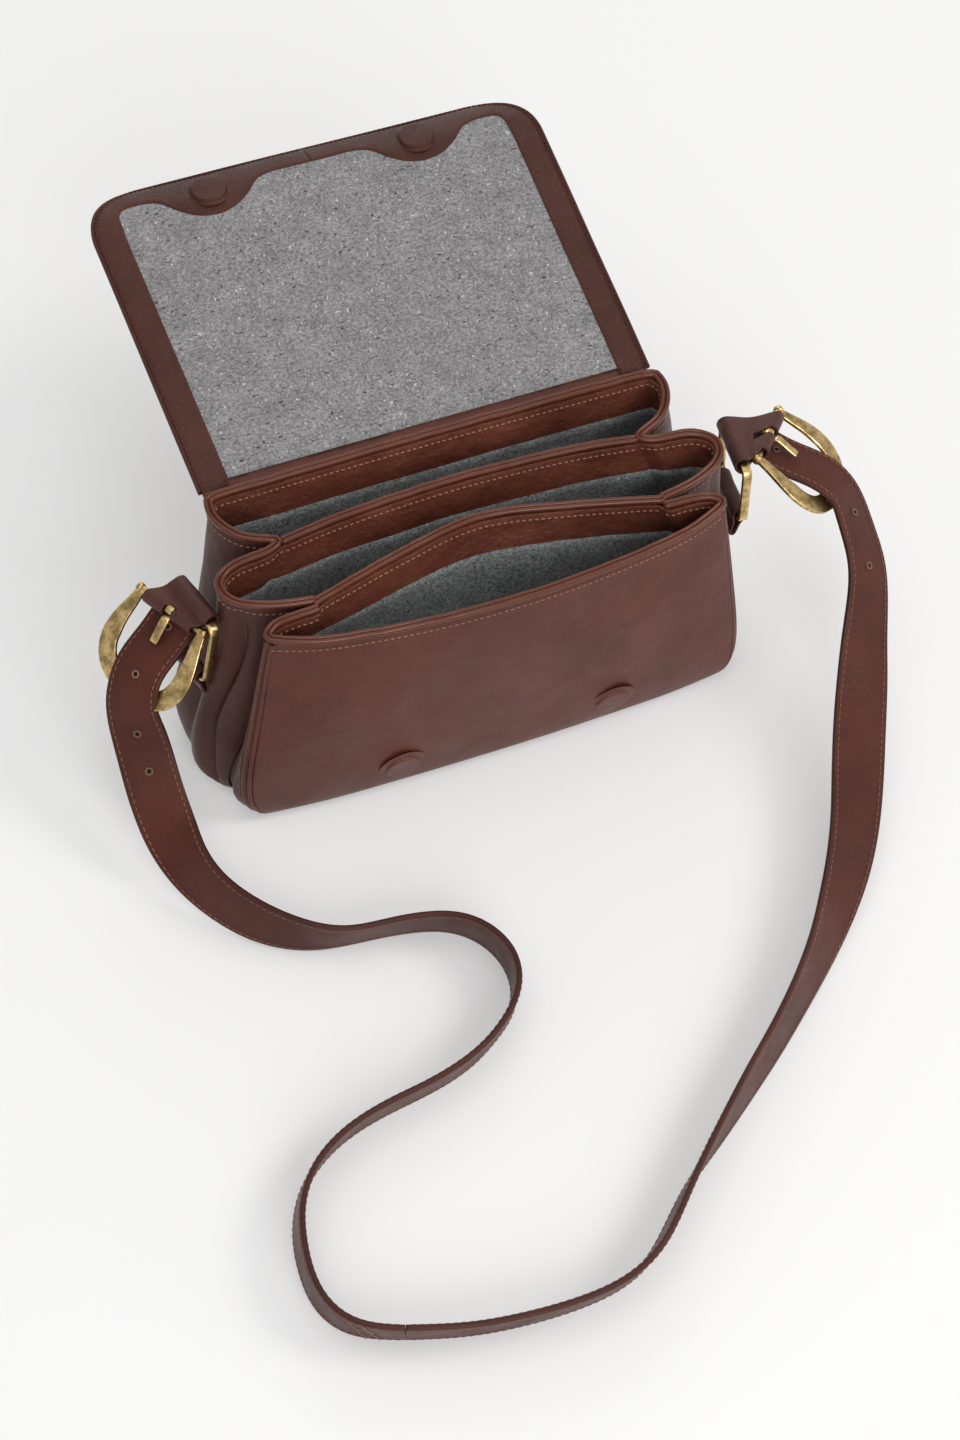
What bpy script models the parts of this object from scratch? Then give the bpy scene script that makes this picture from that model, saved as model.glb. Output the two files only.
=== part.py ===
"""Crossbody purse: three open compartments, a magnetic flap and a buckled strap.

Lengths below are millimetres. +X runs along the width, +Y points to the back, where the
flap is sewn on, and +Z is up. The origin is the middle of the flat underside.
"""

import math

import bmesh
import bpy
from mathutils import Matrix, Vector

MM = 0.001

# Leather, lining and gaps
WALL = 1.8
LINING = 0.7
FACING = 0.7
RIM_RADIUS = 2.3
RIM_GAP = 0.5
WALL_DROP = RIM_RADIUS + RIM_GAP
INSET = 2.6
MITRE_LIMIT = 0.6

# Height of the rims: higher at the back than at the front
RIM_HEIGHT = 147.0
RIM_SLOPE = 0.15
WALL_FOOT = 1.0
INNER_FOOT = 3.2
BASE_THICK = 2.0
BASE_INSET = 5.9
FACING_TOP = 3.0
FACING_DEEP = 24.0
LINING_TOP = 24.6

# How the walls swell and round off towards the floor
LEFT_SWELL = 110.0
RIGHT_SWELL = 65.0
RIGHT_TUCK = 5.0
FRONT_SWELL = 3.0
FOOT_RADIUS = 10.0
FOOT_TURN = 6.0
MID_DEPTH = -12.0
HALF_DEPTH = 50.0
HALF_WIDTH = 150.0

# Heights of the rows that the walls are made of; a negative one is down from the rim
WALL_HEIGHTS = (6.5, 12.0, 26.0, 46.0, 72.0, 102.0)

# Walls in plan: the line of the top edge and the line of the foot
BACK_TOP = ((-124, 42), (0, 43), (124, 42))
BACK_FOOT = ((-145.5, 37.5), (0, 38.5), (145.5, 37.5))
REAR_LOBE_TOP = (
    (-126, 41), (-129.5, 35), (-128, 25), (-121, 14.5), (-111, 8.5), (-104.5, 6.2), (-102.5, 3.8),
)
REAR_LOBE_FOOT = (
    (-148, 36), (-154.5, 31), (-157, 24), (-158, 17), (-158.5, 11), (-158.5, 7), (-158.5, 3.8),
)
MIDDLE_LOBE_TOP = (
    (-102.5, 3.8),
    (-104.5, 1.5),
    (-113, -0.5),
    (-129, -2.5),
    (-139, -8),
    (-141, -16),
    (-136, -24.5),
    (-123, -31),
    (-110, -34.5),
    (-101, -36),
)
MIDDLE_LOBE_FOOT = (
    (-158.5, 3.8),
    (-158.5, 0.5),
    (-158.5, -3),
    (-158.5, -8),
    (-158, -13),
    (-157, -18),
    (-155.5, -22.5),
    (-153.5, -26.5),
    (-151, -29.5),
    (-148.5, -31.5),
)
REAR_DIVIDER_TOP = ((-97.5, 3.8), (-60, 8.5), (0, 11), (60, 8.5), (97.5, 3.8))
REAR_DIVIDER_FOOT = ((-152, 3.8), (-76, 4), (0, 4), (76, 4), (152, 3.8))
FRONT_DIVIDER_TOP = ((-95, -37), (-50, -25), (0, -16), (50, -25), (95, -37))
FRONT_DIVIDER_FOOT = ((-142, -33), (-72, -31), (0, -30), (72, -31), (142, -33))
POUCH_SIDE_TOP = ((-100, -42), (-112, -42.5), (-122, -44), (-128.5, -48.5))
POUCH_SIDE_FOOT = ((-144, -37), (-146, -41), (-145.5, -46.5), (-141.5, -52.5))
FRONT_TOP = ((-126, -53), (-99, -61.5), (-50, -68), (0, -70), (50, -68), (99, -61.5), (126, -53))
FRONT_FOOT = ((-137.5, -57), (-100, -60.5), (-50, -62), (0, -62.5), (50, -62), (100, -60.5), (137.5, -57))

# Flap: distances run from the hinge line, which lies just behind the back rim
HINGE_Y = 47.0
HINGE_Z = 152.5
FLAP_OPEN = math.radians(15)
FLAP_DROP = -6.8
FLAP_START = 5.0
FLAP_FOLD = 122.0
FLAP_FLAT = 175.0
FLAP_LENGTH = 204.0
FLAP_CURL = math.radians(42)
FLAP_HALF_HINGE = 129.5
FLAP_HALF_FAR = 133.0
FLAP_CORNER = 36.0
FLAP_LEATHER = 1.6
FLAP_LAYER = 1.0
LAYER_LIFT = 1.6
BORDER = 17.0
LOBE_OUT = 62.0
LOBE_DEEP = 41.0
PART_GAP = 0.3
FLAP_STRIP = (128.0, 145.5, 45.4)

# Magnets under round leather covers
MAGNET_RADIUS = 11.0
MAGNET_THICK = 2.8
MAGNET_OUT = 62.0
MAGNET_FROM_EDGE = 20.0
FRONT_MAGNET_Z = 22.0

# Strap hardware
BAND_WIDTH = 34.0
RING_LONG = 47.0
RING_TALL = 43.0
RING_BAND = 4.0
RING_CORNER = 6.0
RING_THICK = 3.6
SLEEVE = 1.4
RING_SLEEVE = 4.0
BAR_SLEEVE = 3.2
BAR_RADIUS = 2.0
BAR_HALF = 24.6
FRAME_THICK = 2.6
FRAME_BOW = 1.5
PRONG_OUTER = 3.5
PRONG_BORE = 2.3
PRONG_WIDTH = 5.0
PRONG_REACH = 24.0
PRONG_SLOT = 6.4
LOOP_TAIL_RADIUS = 1.2

# Strap
STRAP_WIDTH = 30.0
STRAP_THICK = 3.4

# Each side: ring's top bar, buckle bar, and the way that the frame points
LEFT = {
    "name": "left",
    "ring": (-152.4, -2.0, 125.4),
    "ring_line": (0.21, -0.978, 0.0),
    "ring_foot": (-7.5, 0.0, -38.4),
    "loop_tail": (-2.5, 0.0, -20.0),
    "bar": (-163.5, 1.8, 120.8),
    "bar_line": (0.45, -0.89, -0.05),
    "frame": (-0.574, -0.332, -0.749),
}
RIGHT = {
    "name": "right",
    "ring": (160.0, -1.0, 124.5),
    "ring_line": (-0.21, -0.978, 0.0),
    "ring_foot": (0.0, 0.0, -39.0),
    "loop_tail": (2.0, 0.0, -20.0),
    "bar": (182.0, 3.8, 120.0),
    "bar_line": (-0.65, -0.75, 0.11),
    "frame": (0.596, -0.571, -0.565),
}

# Strap route beyond the buckles: centre line, then the way that its width points
LEFT_ROUTE = (
    ((-194.8, -12.2, 89.7), (0.45, -0.89, -0.05)),
    ((-198.8, -14.0, 85.4), (0.48, -0.88, -0.03)),
    ((-200.2, -15.4, 79.0), (0.54, -0.84, 0.02)),
    ((-197.0, -20.4, 66.0), (0.72, -0.68, 0.1)),
    ((-195.0, -31.0, 53.0), (0.93, -0.32, 0.18)),
    ((-195.5, -46.0, 41.5), (0.99, -0.09, 0.12)),
    ((-195.0, -61.0, 33.0), (0.97, -0.08, 0.24)),
    ((-194.0, -75.0, 27.0), (0.82, -0.12, 0.56)),
    ((-191.0, -90.0, 22.5), (0.62, -0.03, 0.79)),
    ((-184.0, -107.0, 18.8), (0.4, 0.03, 0.92)),
    ((-171.0, -127.0, 16.5), (0.25, 0.05, 0.97)),
    ((-152.0, -144.5, 15.4), (0.08, -0.1, 0.99)),
    ((-130.0, -155.0, 15.0), (0.0, -0.35, 0.94)),
    ((-101.0, -158.6, 15.0), (0.0, -0.35, 0.94)),
    ((-75.0, -166.0, 15.1), (-0.14, -0.28, 0.95)),
    ((-60.0, -182.0, 15.3), (-0.15, -0.08, 0.99)),
    ((-54.8, -203.0, 15.3), (0.0, 0.0, 1.0)),
    ((-60.0, -222.0, 15.3), (0.12, -0.05, 0.99)),
    ((-74.0, -236.5, 15.1), (0.17, -0.2, 0.96)),
    ((-96.0, -250.0, 15.1), (0.13, -0.28, 0.95)),
    ((-122.0, -257.0, 15.0), (0.05, -0.34, 0.94)),
    ((-148.0, -260.5, 15.0), (0.08, -0.33, 0.94)),
    ((-173.0, -267.5, 15.0), (0.12, -0.3, 0.95)),
    ((-194.0, -281.0, 15.1), (0.17, -0.22, 0.96)),
    ((-208.0, -301.0, 15.3), (0.15, -0.1, 0.98)),
    ((-214.0, -323.0, 15.3), (0.1, -0.03, 0.99)),
    ((-215.5, -345.0, 15.3), (0.0, 0.0, 1.0)),
    ((-210.0, -361.5, 15.2), (-0.15, -0.1, 0.98)),
    ((-200.0, -371.5, 15.1), (-0.16, -0.26, 0.95)),
    ((-183.5, -379.0, 15.0), (-0.13, -0.3, 0.95)),
)
RIGHT_ROUTE = (
    ((211.7, -25.0, 98.9), (-0.65, -0.75, 0.11)),
    ((216.1, -29.6, 94.2), (-0.65, -0.75, 0.11)),
    ((214.5, -47.0, 85.5), (-0.8, -0.45, 0.32)),
    ((213.7, -65.0, 74.6), (-0.86, -0.12, 0.5)),
    ((208.0, -80.0, 64.5), (-0.83, 0.03, 0.56)),
    ((198.0, -98.0, 54.0), (-0.84, 0.2, 0.5)),
    ((187.0, -119.0, 44.5), (-0.88, 0.33, 0.34)),
    ((174.5, -142.0, 36.5), (-0.89, 0.38, 0.25)),
    ((162.0, -166.0, 30.0), (-0.87, 0.41, 0.29)),
    ((149.0, -190.0, 25.3), (-0.8, 0.4, 0.44)),
    ((134.0, -213.0, 21.8), (-0.67, 0.42, 0.62)),
    ((116.0, -235.0, 18.9), (-0.5, 0.35, 0.79)),
    ((96.0, -256.5, 17.0), (-0.31, 0.24, 0.92)),
    ((74.0, -277.0, 15.9), (-0.17, 0.16, 0.97)),
    ((50.5, -297.0, 15.3), (-0.1, 0.11, 0.99)),
    ((26.0, -316.0, 15.3), (-0.05, 0.06, 1.0)),
    ((2.0, -335.0, 15.3), (0.03, -0.03, 1.0)),
    ((-21.0, -353.0, 15.2), (0.15, -0.15, 0.98)),
    ((-41.0, -372.0, 15.1), (0.18, -0.18, 0.97)),
    ((-57.0, -386.0, 15.1), (0.16, -0.24, 0.96)),
    ((-76.5, -394.0, 15.0), (0.07, -0.33, 0.94)),
    ((-100.0, -396.0, 15.0), (0.0, -0.35, 0.94)),
    ((-128.0, -394.0, 15.0), (-0.04, -0.34, 0.94)),
    ((-155.0, -389.0, 15.0), (-0.08, -0.33, 0.94)),
    ((-182.6, -379.4, 15.0), (-0.13, -0.3, 0.95)),
)
# Along the frame: distance from the bar and height over the frame's plane
THREADING = ((1.5, -7.2), (9.0, -6.1), (17.0, -4.1), (24.0, -0.9), (31.0, 3.6), (38.0, 5.5))

for old in list(bpy.data.objects):
    bpy.data.objects.remove(old, do_unlink=True)

purse = bpy.data.collections.new("crossbody_purse")
bpy.context.scene.collection.children.link(purse)
cutters = bpy.data.collections.new("cutters")
cutters.hide_render = True
bpy.context.scene.collection.children.link(cutters)


def material(name, colour, metallic, roughness):
    made = bpy.data.materials.new(name)
    made.use_nodes = True
    shader = made.node_tree.nodes["Principled BSDF"]
    shader.inputs["Base Color"].default_value = (*colour, 1.0)
    shader.inputs["Metallic"].default_value = metallic
    shader.inputs["Roughness"].default_value = roughness
    made.diffuse_color = (*colour, 1.0)
    made.metallic = metallic
    made.roughness = roughness
    return made


LEATHER_COLOUR = (0.105, 0.035, 0.022)
EDGE_COLOUR = (0.14, 0.048, 0.028)
WOOL_COLOUR = (0.2, 0.2, 0.21)
BRASS_COLOUR = (0.5, 0.36, 0.14)


def leather(name):
    return material(name, LEATHER_COLOUR, 0.0, 0.5)


def binding(name):
    return material(name, EDGE_COLOUR, 0.0, 0.55)


def wool(name):
    return material(name, WOOL_COLOUR, 0.0, 0.95)


def brass(name):
    return material(name, BRASS_COLOUR, 1.0, 0.35)


def place(name, mesh, surface, collection=purse):
    made = bpy.data.objects.new(name, mesh)
    if surface:
        mesh.materials.append(surface)
    collection.objects.link(made)
    return made


def sheet(name, rows, thickness, surface, closed=False, flip=False):
    """A thin body over a grid of points, in millimetres. It's even about the grid."""
    across = len(rows[0])
    verts = [tuple(c * MM for c in p) for row in rows for p in row]
    faces = []
    for i in range(len(rows) - 1):
        for j in range(across if closed else across - 1):
            k = (j + 1) % across
            face = (i * across + j, i * across + k, (i + 1) * across + k, (i + 1) * across + j)
            faces.append(face[::-1] if flip else face)
    mesh = bpy.data.meshes.new(name)
    mesh.from_pydata(verts, [], faces)
    made = place(name, mesh, surface)
    solid = made.modifiers.new("thickness", "SOLIDIFY")
    solid.thickness = thickness * MM
    solid.offset = 0.0
    return made


def smooth(points, count):
    """Points at even steps along a smooth line through the given ones."""
    ends = [Vector(p) for p in points]
    fine = []
    steps = 16
    for i in range(len(ends) - 1):
        a = ends[max(i - 1, 0)]
        b = ends[i]
        c = ends[i + 1]
        d = ends[min(i + 2, len(ends) - 1)]
        for k in range(steps):
            t = k / steps
            fine.append(0.5 * (2 * b + (c - a) * t + (2 * a - 5 * b + 4 * c - d) * t * t
                               + (3 * b - a - 3 * c + d) * t ** 3))
    fine.append(ends[-1])
    run = [0.0]
    for a, b in zip(fine, fine[1:]):
        run.append(run[-1] + (b - a).length)
    found = []
    k = 0
    for i in range(count):
        goal = run[-1] * i / (count - 1)
        while k < len(run) - 2 and run[k + 1] < goal:
            k += 1
        part = (goal - run[k]) / max(run[k + 1] - run[k], 1e-9)
        found.append(fine[k].lerp(fine[k + 1], min(part, 1.0)))
    return found


def mirrored(line):
    return [Vector((-p.x, p.y)) for p in line]


def rim_z(top):
    return RIM_HEIGHT + RIM_SLOPE * top.y


def wall_point(top, foot, height):
    """The point of a wall at a height above the floor, or down from its rim if negative."""
    high = rim_z(top) - WALL_DROP
    z = height if height > 0 else rim_z(top) + height
    level = (z - WALL_FOOT) / (high - WALL_FOOT)
    flat = foot.lerp(top, level)
    side = math.copysign(1.0, flat.x)
    reach = min(1.0, abs(flat.x) / HALF_WIDTH)
    depth = (flat.y - MID_DEPTH) / HALF_DEPTH
    if side < 0:
        x = flat.x - LEFT_SWELL * level * (1 - level) ** 4 * reach ** 4
    else:
        x = flat.x + (RIGHT_SWELL * level * (1 - level) ** 3 - RIGHT_TUCK) * (1 - level) * reach ** 4
    y = flat.y
    if depth < 0:
        y -= FRONT_SWELL * 4 * level * (1 - level) * depth * depth
    below = max(0.0, 1 - z / FOOT_RADIUS)
    turn = FOOT_TURN * (1 - math.sqrt(1 - below * below))
    x -= side * turn * reach ** 6
    y -= math.copysign(1.0, depth) * turn * min(1.0, depth * depth)
    return Vector((x, y, z))


def tucked(foot):
    """A point of the foot outline where the right side has drawn in."""
    reach = min(1.0, max(0.0, foot.x) / HALF_WIDTH)
    return Vector((foot.x - RIGHT_TUCK * reach ** 4, foot.y))


def wall_rows(top, foot, heights):
    return [[wall_point(t, f, height) for t, f in zip(top, foot)] for height in heights]


def inset(line, by):
    """A closed line moved inwards; it runs anticlockwise."""
    count = len(line)
    found = []
    for i, p in enumerate(line):
        before = (p - line[i - 1]).normalized()
        after = (line[(i + 1) % count] - p).normalized()
        inward = Vector((-before.y - after.y, before.x + after.x)).normalized()
        mitre = max(inward.dot(Vector((-before.y, before.x))), MITRE_LIMIT)
        found.append(p + inward * by / mitre)
    return found


# Walls ------------------------------------------------------------------------------

back = (smooth(BACK_TOP, 9), smooth(BACK_FOOT, 9))
rear_lobe = (smooth(REAR_LOBE_TOP, 9), smooth(REAR_LOBE_FOOT, 9))
middle_lobe = (smooth(MIDDLE_LOBE_TOP, 12), smooth(MIDDLE_LOBE_FOOT, 12))
rear_divider = (smooth(REAR_DIVIDER_TOP, 11), smooth(REAR_DIVIDER_FOOT, 11))
front_divider = (smooth(FRONT_DIVIDER_TOP, 11), smooth(FRONT_DIVIDER_FOOT, 11))
pouch_side = (smooth(POUCH_SIDE_TOP, 6), smooth(POUCH_SIDE_FOOT, 6))
front = (smooth(FRONT_TOP, 15), smooth(FRONT_FOOT, 15))
gusset = tuple(rear_lobe[i] + middle_lobe[i][1:] for i in (0, 1))


def wall(name, pair, feet=(WALL_FOOT, INNER_FOOT)):
    rows = wall_rows(pair[0], pair[1], (*feet, *WALL_HEIGHTS, -WALL_DROP))
    return sheet(name, rows, WALL, leather(name))


wall("back_panel", back)
wall("front_panel", front)
wall("rear_divider", rear_divider, (INNER_FOOT,))
wall("front_divider", front_divider, (INNER_FOOT,))
for side, turn in (("left", list), ("right", mirrored)):
    wall("gusset_" + side, tuple(turn(line) for line in gusset))
    wall("pouch_side_" + side, tuple(turn(line) for line in pouch_side))


def outline_of(i):
    """The bag's outer line in plan, anticlockwise: i is 0 for the top and 1 for the foot."""
    left = gusset[i] + pouch_side[i]
    return back[i][::-1] + left + front[i] + mirrored(left)[::-1]


def flat_piece(name, line, low, thick, surface, collection=purse):
    """A flat plate with the given outline, made from a filled 2D curve."""
    curve = bpy.data.curves.new(name, "CURVE")
    curve.dimensions = "2D"
    curve.fill_mode = "BOTH"
    curve.extrude = thick / 2 * MM
    for part in line:
        run = curve.splines.new("POLY")
        run.points.add(len(part) - 1)
        for spot, p in zip(run.points, part):
            spot.co = (p[0] * MM, p[1] * MM, 0.0, 1.0)
        run.use_cyclic_u = True
    made = bpy.data.objects.new(name, curve)
    made.location.z = (low + thick / 2) * MM
    collection.objects.link(made)
    if surface:
        curve.materials.append(surface)
    return made


def as_mesh(made, surface, collection=purse):
    """Turns a curve object into a welded mesh object of the same name."""
    bpy.context.view_layer.update()
    graph = bpy.context.evaluated_depsgraph_get()
    mesh = bpy.data.meshes.new_from_object(made.evaluated_get(graph))
    work = bmesh.new()
    work.from_mesh(mesh)
    bmesh.ops.remove_doubles(work, verts=work.verts, dist=1e-6)
    bmesh.ops.recalc_face_normals(work, faces=work.faces)
    work.to_mesh(mesh)
    work.free()
    name = made.name
    matrix = made.matrix_world.copy()
    bpy.data.objects.remove(made, do_unlink=True)
    mesh.materials.clear()
    solid = place(name, mesh, surface, collection)
    solid.matrix_world = matrix
    return solid


base_line = inset([tucked(p) for p in outline_of(1)], BASE_INSET)
flat_piece("base_panel", [base_line], 0.0, BASE_THICK, leather("base_panel"))


# Facings and linings ----------------------------------------------------------------

def compartment(i, place_name):
    left_rear = rear_lobe[i]
    left_middle = middle_lobe[i]
    if place_name == "rear":
        return back[i][::-1] + left_rear + rear_divider[i] + mirrored(left_rear)[::-1]
    if place_name == "middle":
        return rear_divider[i][::-1] + left_middle + front_divider[i] + mirrored(left_middle)[::-1]
    return front_divider[i][::-1] + pouch_side[i] + front[i] + mirrored(pouch_side[i])[::-1]


def cup(name, rows, thickness, surface):
    """A sheet closed round, with a flat floor."""
    across = len(rows[0])
    verts = [tuple(c * MM for c in p) for row in rows for p in row]
    faces = [tuple(reversed(range(across)))]
    for i in range(len(rows) - 1):
        for j in range(across):
            k = (j + 1) % across
            faces.append((i * across + j, i * across + k, (i + 1) * across + k, (i + 1) * across + j))
    mesh = bpy.data.meshes.new(name)
    mesh.from_pydata(verts, [], faces)
    made = place(name, mesh, surface)
    solid = made.modifiers.new("thickness", "SOLIDIFY")
    solid.thickness = thickness * MM
    solid.offset = 0.0
    return made


for spot in ("rear", "middle", "front"):
    tops = inset(compartment(0, spot), INSET)
    feet = inset(compartment(1, spot), INSET)
    lining_rows = wall_rows(tops, feet, (INNER_FOOT, *WALL_HEIGHTS, -LINING_TOP))
    cup("lining_" + spot, lining_rows, LINING, wool("lining_" + spot))
    facing_rows = wall_rows(tops, feet, (-FACING_DEEP, -FACING_DEEP / 2, -FACING_TOP))
    sheet("facing_" + spot, facing_rows, FACING, binding("facing_" + spot), closed=True)


# Rolled rims ------------------------------------------------------------------------

def rim(name, line):
    curve = bpy.data.curves.new(name, "CURVE")
    curve.dimensions = "3D"
    curve.bevel_depth = RIM_RADIUS * MM
    curve.bevel_resolution = 2
    curve.use_fill_caps = True
    run = curve.splines.new("POLY")
    run.points.add(len(line) - 1)
    for spot_point, p in zip(run.points, line):
        spot_point.co = (p.x * MM, p.y * MM, rim_z(p) * MM, 1.0)
    curve.materials.append(binding(name))
    made = bpy.data.objects.new(name, curve)
    purse.objects.link(made)
    return made


def trimmed(line, by):
    """The line with each end moved in along it."""
    first = line[0] + (line[1] - line[0]).normalized() * by
    last = line[-1] + (line[-2] - line[-1]).normalized() * by
    return [first] + line[1:-1] + [last]


rim("rim_back", trimmed(back[0], 2.0))
rim("rim_front", trimmed(front[0], 2.0))
rim("rim_rear_divider", trimmed(rear_divider[0], 1.0))
rim("rim_front_divider", trimmed(front_divider[0], 1.0))
for side, turn in (("left", list), ("right", mirrored)):
    rim("rim_gusset_" + side, turn(gusset[0]))
    rim("rim_pouch_" + side, turn(pouch_side[0]))


# Front magnets ----------------------------------------------------------------------

def disc(name, centre, axis, surface, parent=None):
    """A round cover with softened edges, its axis along the given direction."""
    bpy.ops.mesh.primitive_cylinder_add(vertices=24, radius=MAGNET_RADIUS * MM, depth=MAGNET_THICK * MM)
    made = bpy.context.active_object
    made.name = name
    made.data.name = name
    made.data.materials.append(surface)
    for other in list(made.users_collection):
        other.objects.unlink(made)
    purse.objects.link(made)
    soft = made.modifiers.new("soft edge", "BEVEL")
    soft.width = 0.8 * MM
    soft.limit_method = "ANGLE"
    made.rotation_mode = "QUATERNION"
    made.rotation_quaternion = Vector((0, 0, 1)).rotation_difference(Vector(axis))
    made.location = Vector(centre) * MM
    if parent:
        made.parent = parent
    return made


MAGNET_LIFT = WALL / 2 + MAGNET_THICK / 2 + 0.7
near = min(range(len(front[0])), key=lambda i: abs(front[1][i].x + MAGNET_OUT))
on_front = wall_point(front[0][near], front[1][near], FRONT_MAGNET_Z)
for side, sign in (("left", -1), ("right", 1)):
    name = "front_magnet_" + side
    disc(name, (sign * MAGNET_OUT, on_front.y - MAGNET_LIFT, FRONT_MAGNET_Z), (0, -1, -0.12), leather(name))


# Flap -------------------------------------------------------------------------------

strip_low, strip_high, strip_y = FLAP_STRIP
strip_rows = [[Vector((x, strip_y, z)) for x in (-128, -64, 0, 64, 128)] for z in (strip_low, strip_high)]
sheet("flap_sewn_edge", strip_rows, WALL, leather("flap_sewn_edge"))

hinge = bpy.data.objects.new("flap_hinge_line", None)
hinge.location = (0, HINGE_Y * MM, HINGE_Z * MM)
hinge.rotation_euler = (FLAP_OPEN, 0, 0)
purse.objects.link(hinge)


def flap_half(v):
    half = FLAP_HALF_HINGE + (FLAP_HALF_FAR - FLAP_HALF_HINGE) * v / FLAP_LENGTH
    into = v - (FLAP_LENGTH - FLAP_CORNER)
    if into > 0:
        half -= FLAP_CORNER - math.sqrt(max(FLAP_CORNER ** 2 - into ** 2, 0.0))
    return half


def flap_point(x, v, lift):
    """A place on the flap: v along it, lift towards the lining. The far end curls over."""
    over = max(0.0, v - FLAP_FLAT)
    bend = FLAP_CURL * over / (FLAP_LENGTH - FLAP_FLAT)
    radius = (FLAP_LENGTH - FLAP_FLAT) / FLAP_CURL
    y = min(v, FLAP_FLAT) + (radius + lift) * math.sin(bend)
    z = FLAP_DROP + lift - (radius + lift) * (1 - math.cos(bend))
    return Vector((x, y, z))


SPREAD = (-1.0, -0.9, -0.5, 0.0, 0.5, 0.9, 1.0)
FRONT_STEPS = (FLAP_FOLD + PART_GAP, 150, 168, 175, 181, 187, 193, 197.5, 201, 203, 203.8)
BACK_STEPS = (FLAP_START, 60, FLAP_FOLD - PART_GAP)


def flap_sheet(name, steps, lift, thickness, surface, margin=0.0):
    rows = [[flap_point(s * (flap_half(v) - margin), v, lift) for s in SPREAD] for v in steps]
    made = sheet(name, rows, thickness, surface)
    made.parent = hinge
    return made


flap_sheet("flap_crown", BACK_STEPS, 0.0, FLAP_LEATHER, leather("flap_crown"))
flap_sheet("flap_front", FRONT_STEPS, 0.0, FLAP_LEATHER, leather("flap_front"))


def strip_of_flap(name, sign, steps, surface):
    """A straight side strip of the leather border, on the lining side."""
    rows = []
    for v in steps:
        outer = flap_half(v) - 0.3
        inner = flap_half(v) - BORDER
        pair = [flap_point(sign * inner, v, LAYER_LIFT), flap_point(sign * outer, v, LAYER_LIFT)]
        rows.append(pair[::-1] if sign < 0 else pair)
    made = sheet(name, rows, FLAP_LAYER, surface)
    made.parent = hinge
    return made


strip_of_flap("flap_border_crown_left", -1, BACK_STEPS, leather("flap_border_crown_left"))
strip_of_flap("flap_border_crown_right", 1, BACK_STEPS, leather("flap_border_crown_right"))
inner_half = (FLAP_HALF_HINGE - BORDER - 0.6, FLAP_HALF_FAR - BORDER - 0.6)


def lining_half(v):
    return inner_half[0] + (inner_half[1] - inner_half[0]) * v / FLAP_LENGTH


crown_lining = [
    [flap_point(s * lining_half(v), v, LAYER_LIFT) for s in (-1, -0.5, 0, 0.5, 1)]
    for v in BACK_STEPS
]
sheet("flap_lining_crown", crown_lining, FLAP_LAYER, wool("flap_lining_crown")).parent = hinge


def lobed_edge(gap):
    """The line, from left to right, where the lining meets the far border and its two lobes."""
    far = FLAP_LENGTH - BORDER - gap
    deep = FLAP_LENGTH - LOBE_DEEP - gap
    side = lining_half(far) + 0.3 - gap
    line = [(-side, far - 2), (-side + 5, far)]
    for sign in (-1, 1):
        marks = ((34, far), (26, far - 3), (17, far - 14), (9, deep + 2), (0, deep),
                 (-9, deep + 2), (-17, far - 14), (-26, far - 3), (-34, far))
        for out, v in marks:
            line.append((sign * LOBE_OUT - out, v))
    line += [(side - 5, far), (side, far - 2)]
    return line


def prism(name, line):
    made = flat_piece(name, [line], -60, 120, None, cutters)
    made = as_mesh(made, None, cutters)
    made.parent = hinge
    made.matrix_parent_inverse = Matrix.Identity(4)
    made.display_type = "WIRE"
    made.hide_render = True
    return made


def cut(made, tool, operation):
    step = made.modifiers.new("shape", "BOOLEAN")
    step.operation = operation
    step.solver = "EXACT"
    step.object = tool
    return made


inner_edge = lobed_edge(0.6)
first = FLAP_FOLD + PART_GAP
lining_side = lining_half(first)
lining_line = [(-lining_side, first)] + inner_edge + [(lining_side, first)]
lining_front = flap_sheet(
    "flap_lining_front", FRONT_STEPS, LAYER_LIFT, FLAP_LAYER, wool("flap_lining_front"), 0.3,
)
cut(lining_front, prism("lining_shape", lining_line), "INTERSECT")

outer_edge = lobed_edge(0.0)
border_side = flap_half(first) - BORDER
beyond = FLAP_HALF_FAR + 10
middle = len(outer_edge) // 2
left_line = [(-border_side, first - 1)] + outer_edge[:middle] + [(-0.2, FLAP_LENGTH - BORDER)]
left_line += [(-0.2, FLAP_LENGTH + 10), (-beyond, FLAP_LENGTH + 10), (-beyond, first - 1)]
right_line = [(-x, v) for x, v in left_line]
for side, line in (("left", left_line), ("right", right_line)):
    name = "flap_border_front_" + side
    border = flap_sheet(name, FRONT_STEPS, LAYER_LIFT, FLAP_LAYER, leather(name), 0.3)
    cut(border, prism("border_shape_" + side, line), "INTERSECT")

for side, sign in (("left", -1), ("right", 1)):
    name = "flap_magnet_" + side
    seat = FLAP_LENGTH - MAGNET_FROM_EDGE
    lift = LAYER_LIFT + FLAP_LAYER / 2 + MAGNET_THICK / 2 + 0.9
    centre = flap_point(sign * MAGNET_OUT, seat, lift)
    over = FLAP_CURL * (seat - FLAP_FLAT) / (FLAP_LENGTH - FLAP_FLAT)
    disc(name, centre, (0, math.sin(over), math.cos(over)), leather(name), hinge)


# Rings, tabs, buckles ---------------------------------------------------------------

def frame_axes(side):
    """The buckle's axes: along the frame, along the bar, and out of the frame's plane."""
    bar = Vector(side["bar_line"]).normalized()
    along = Vector(side["frame"])
    along = (along - bar * along.dot(bar)).normalized()
    out = along.cross(bar)
    if out.z < 0:
        out = -out
    return along, bar, out


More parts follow.
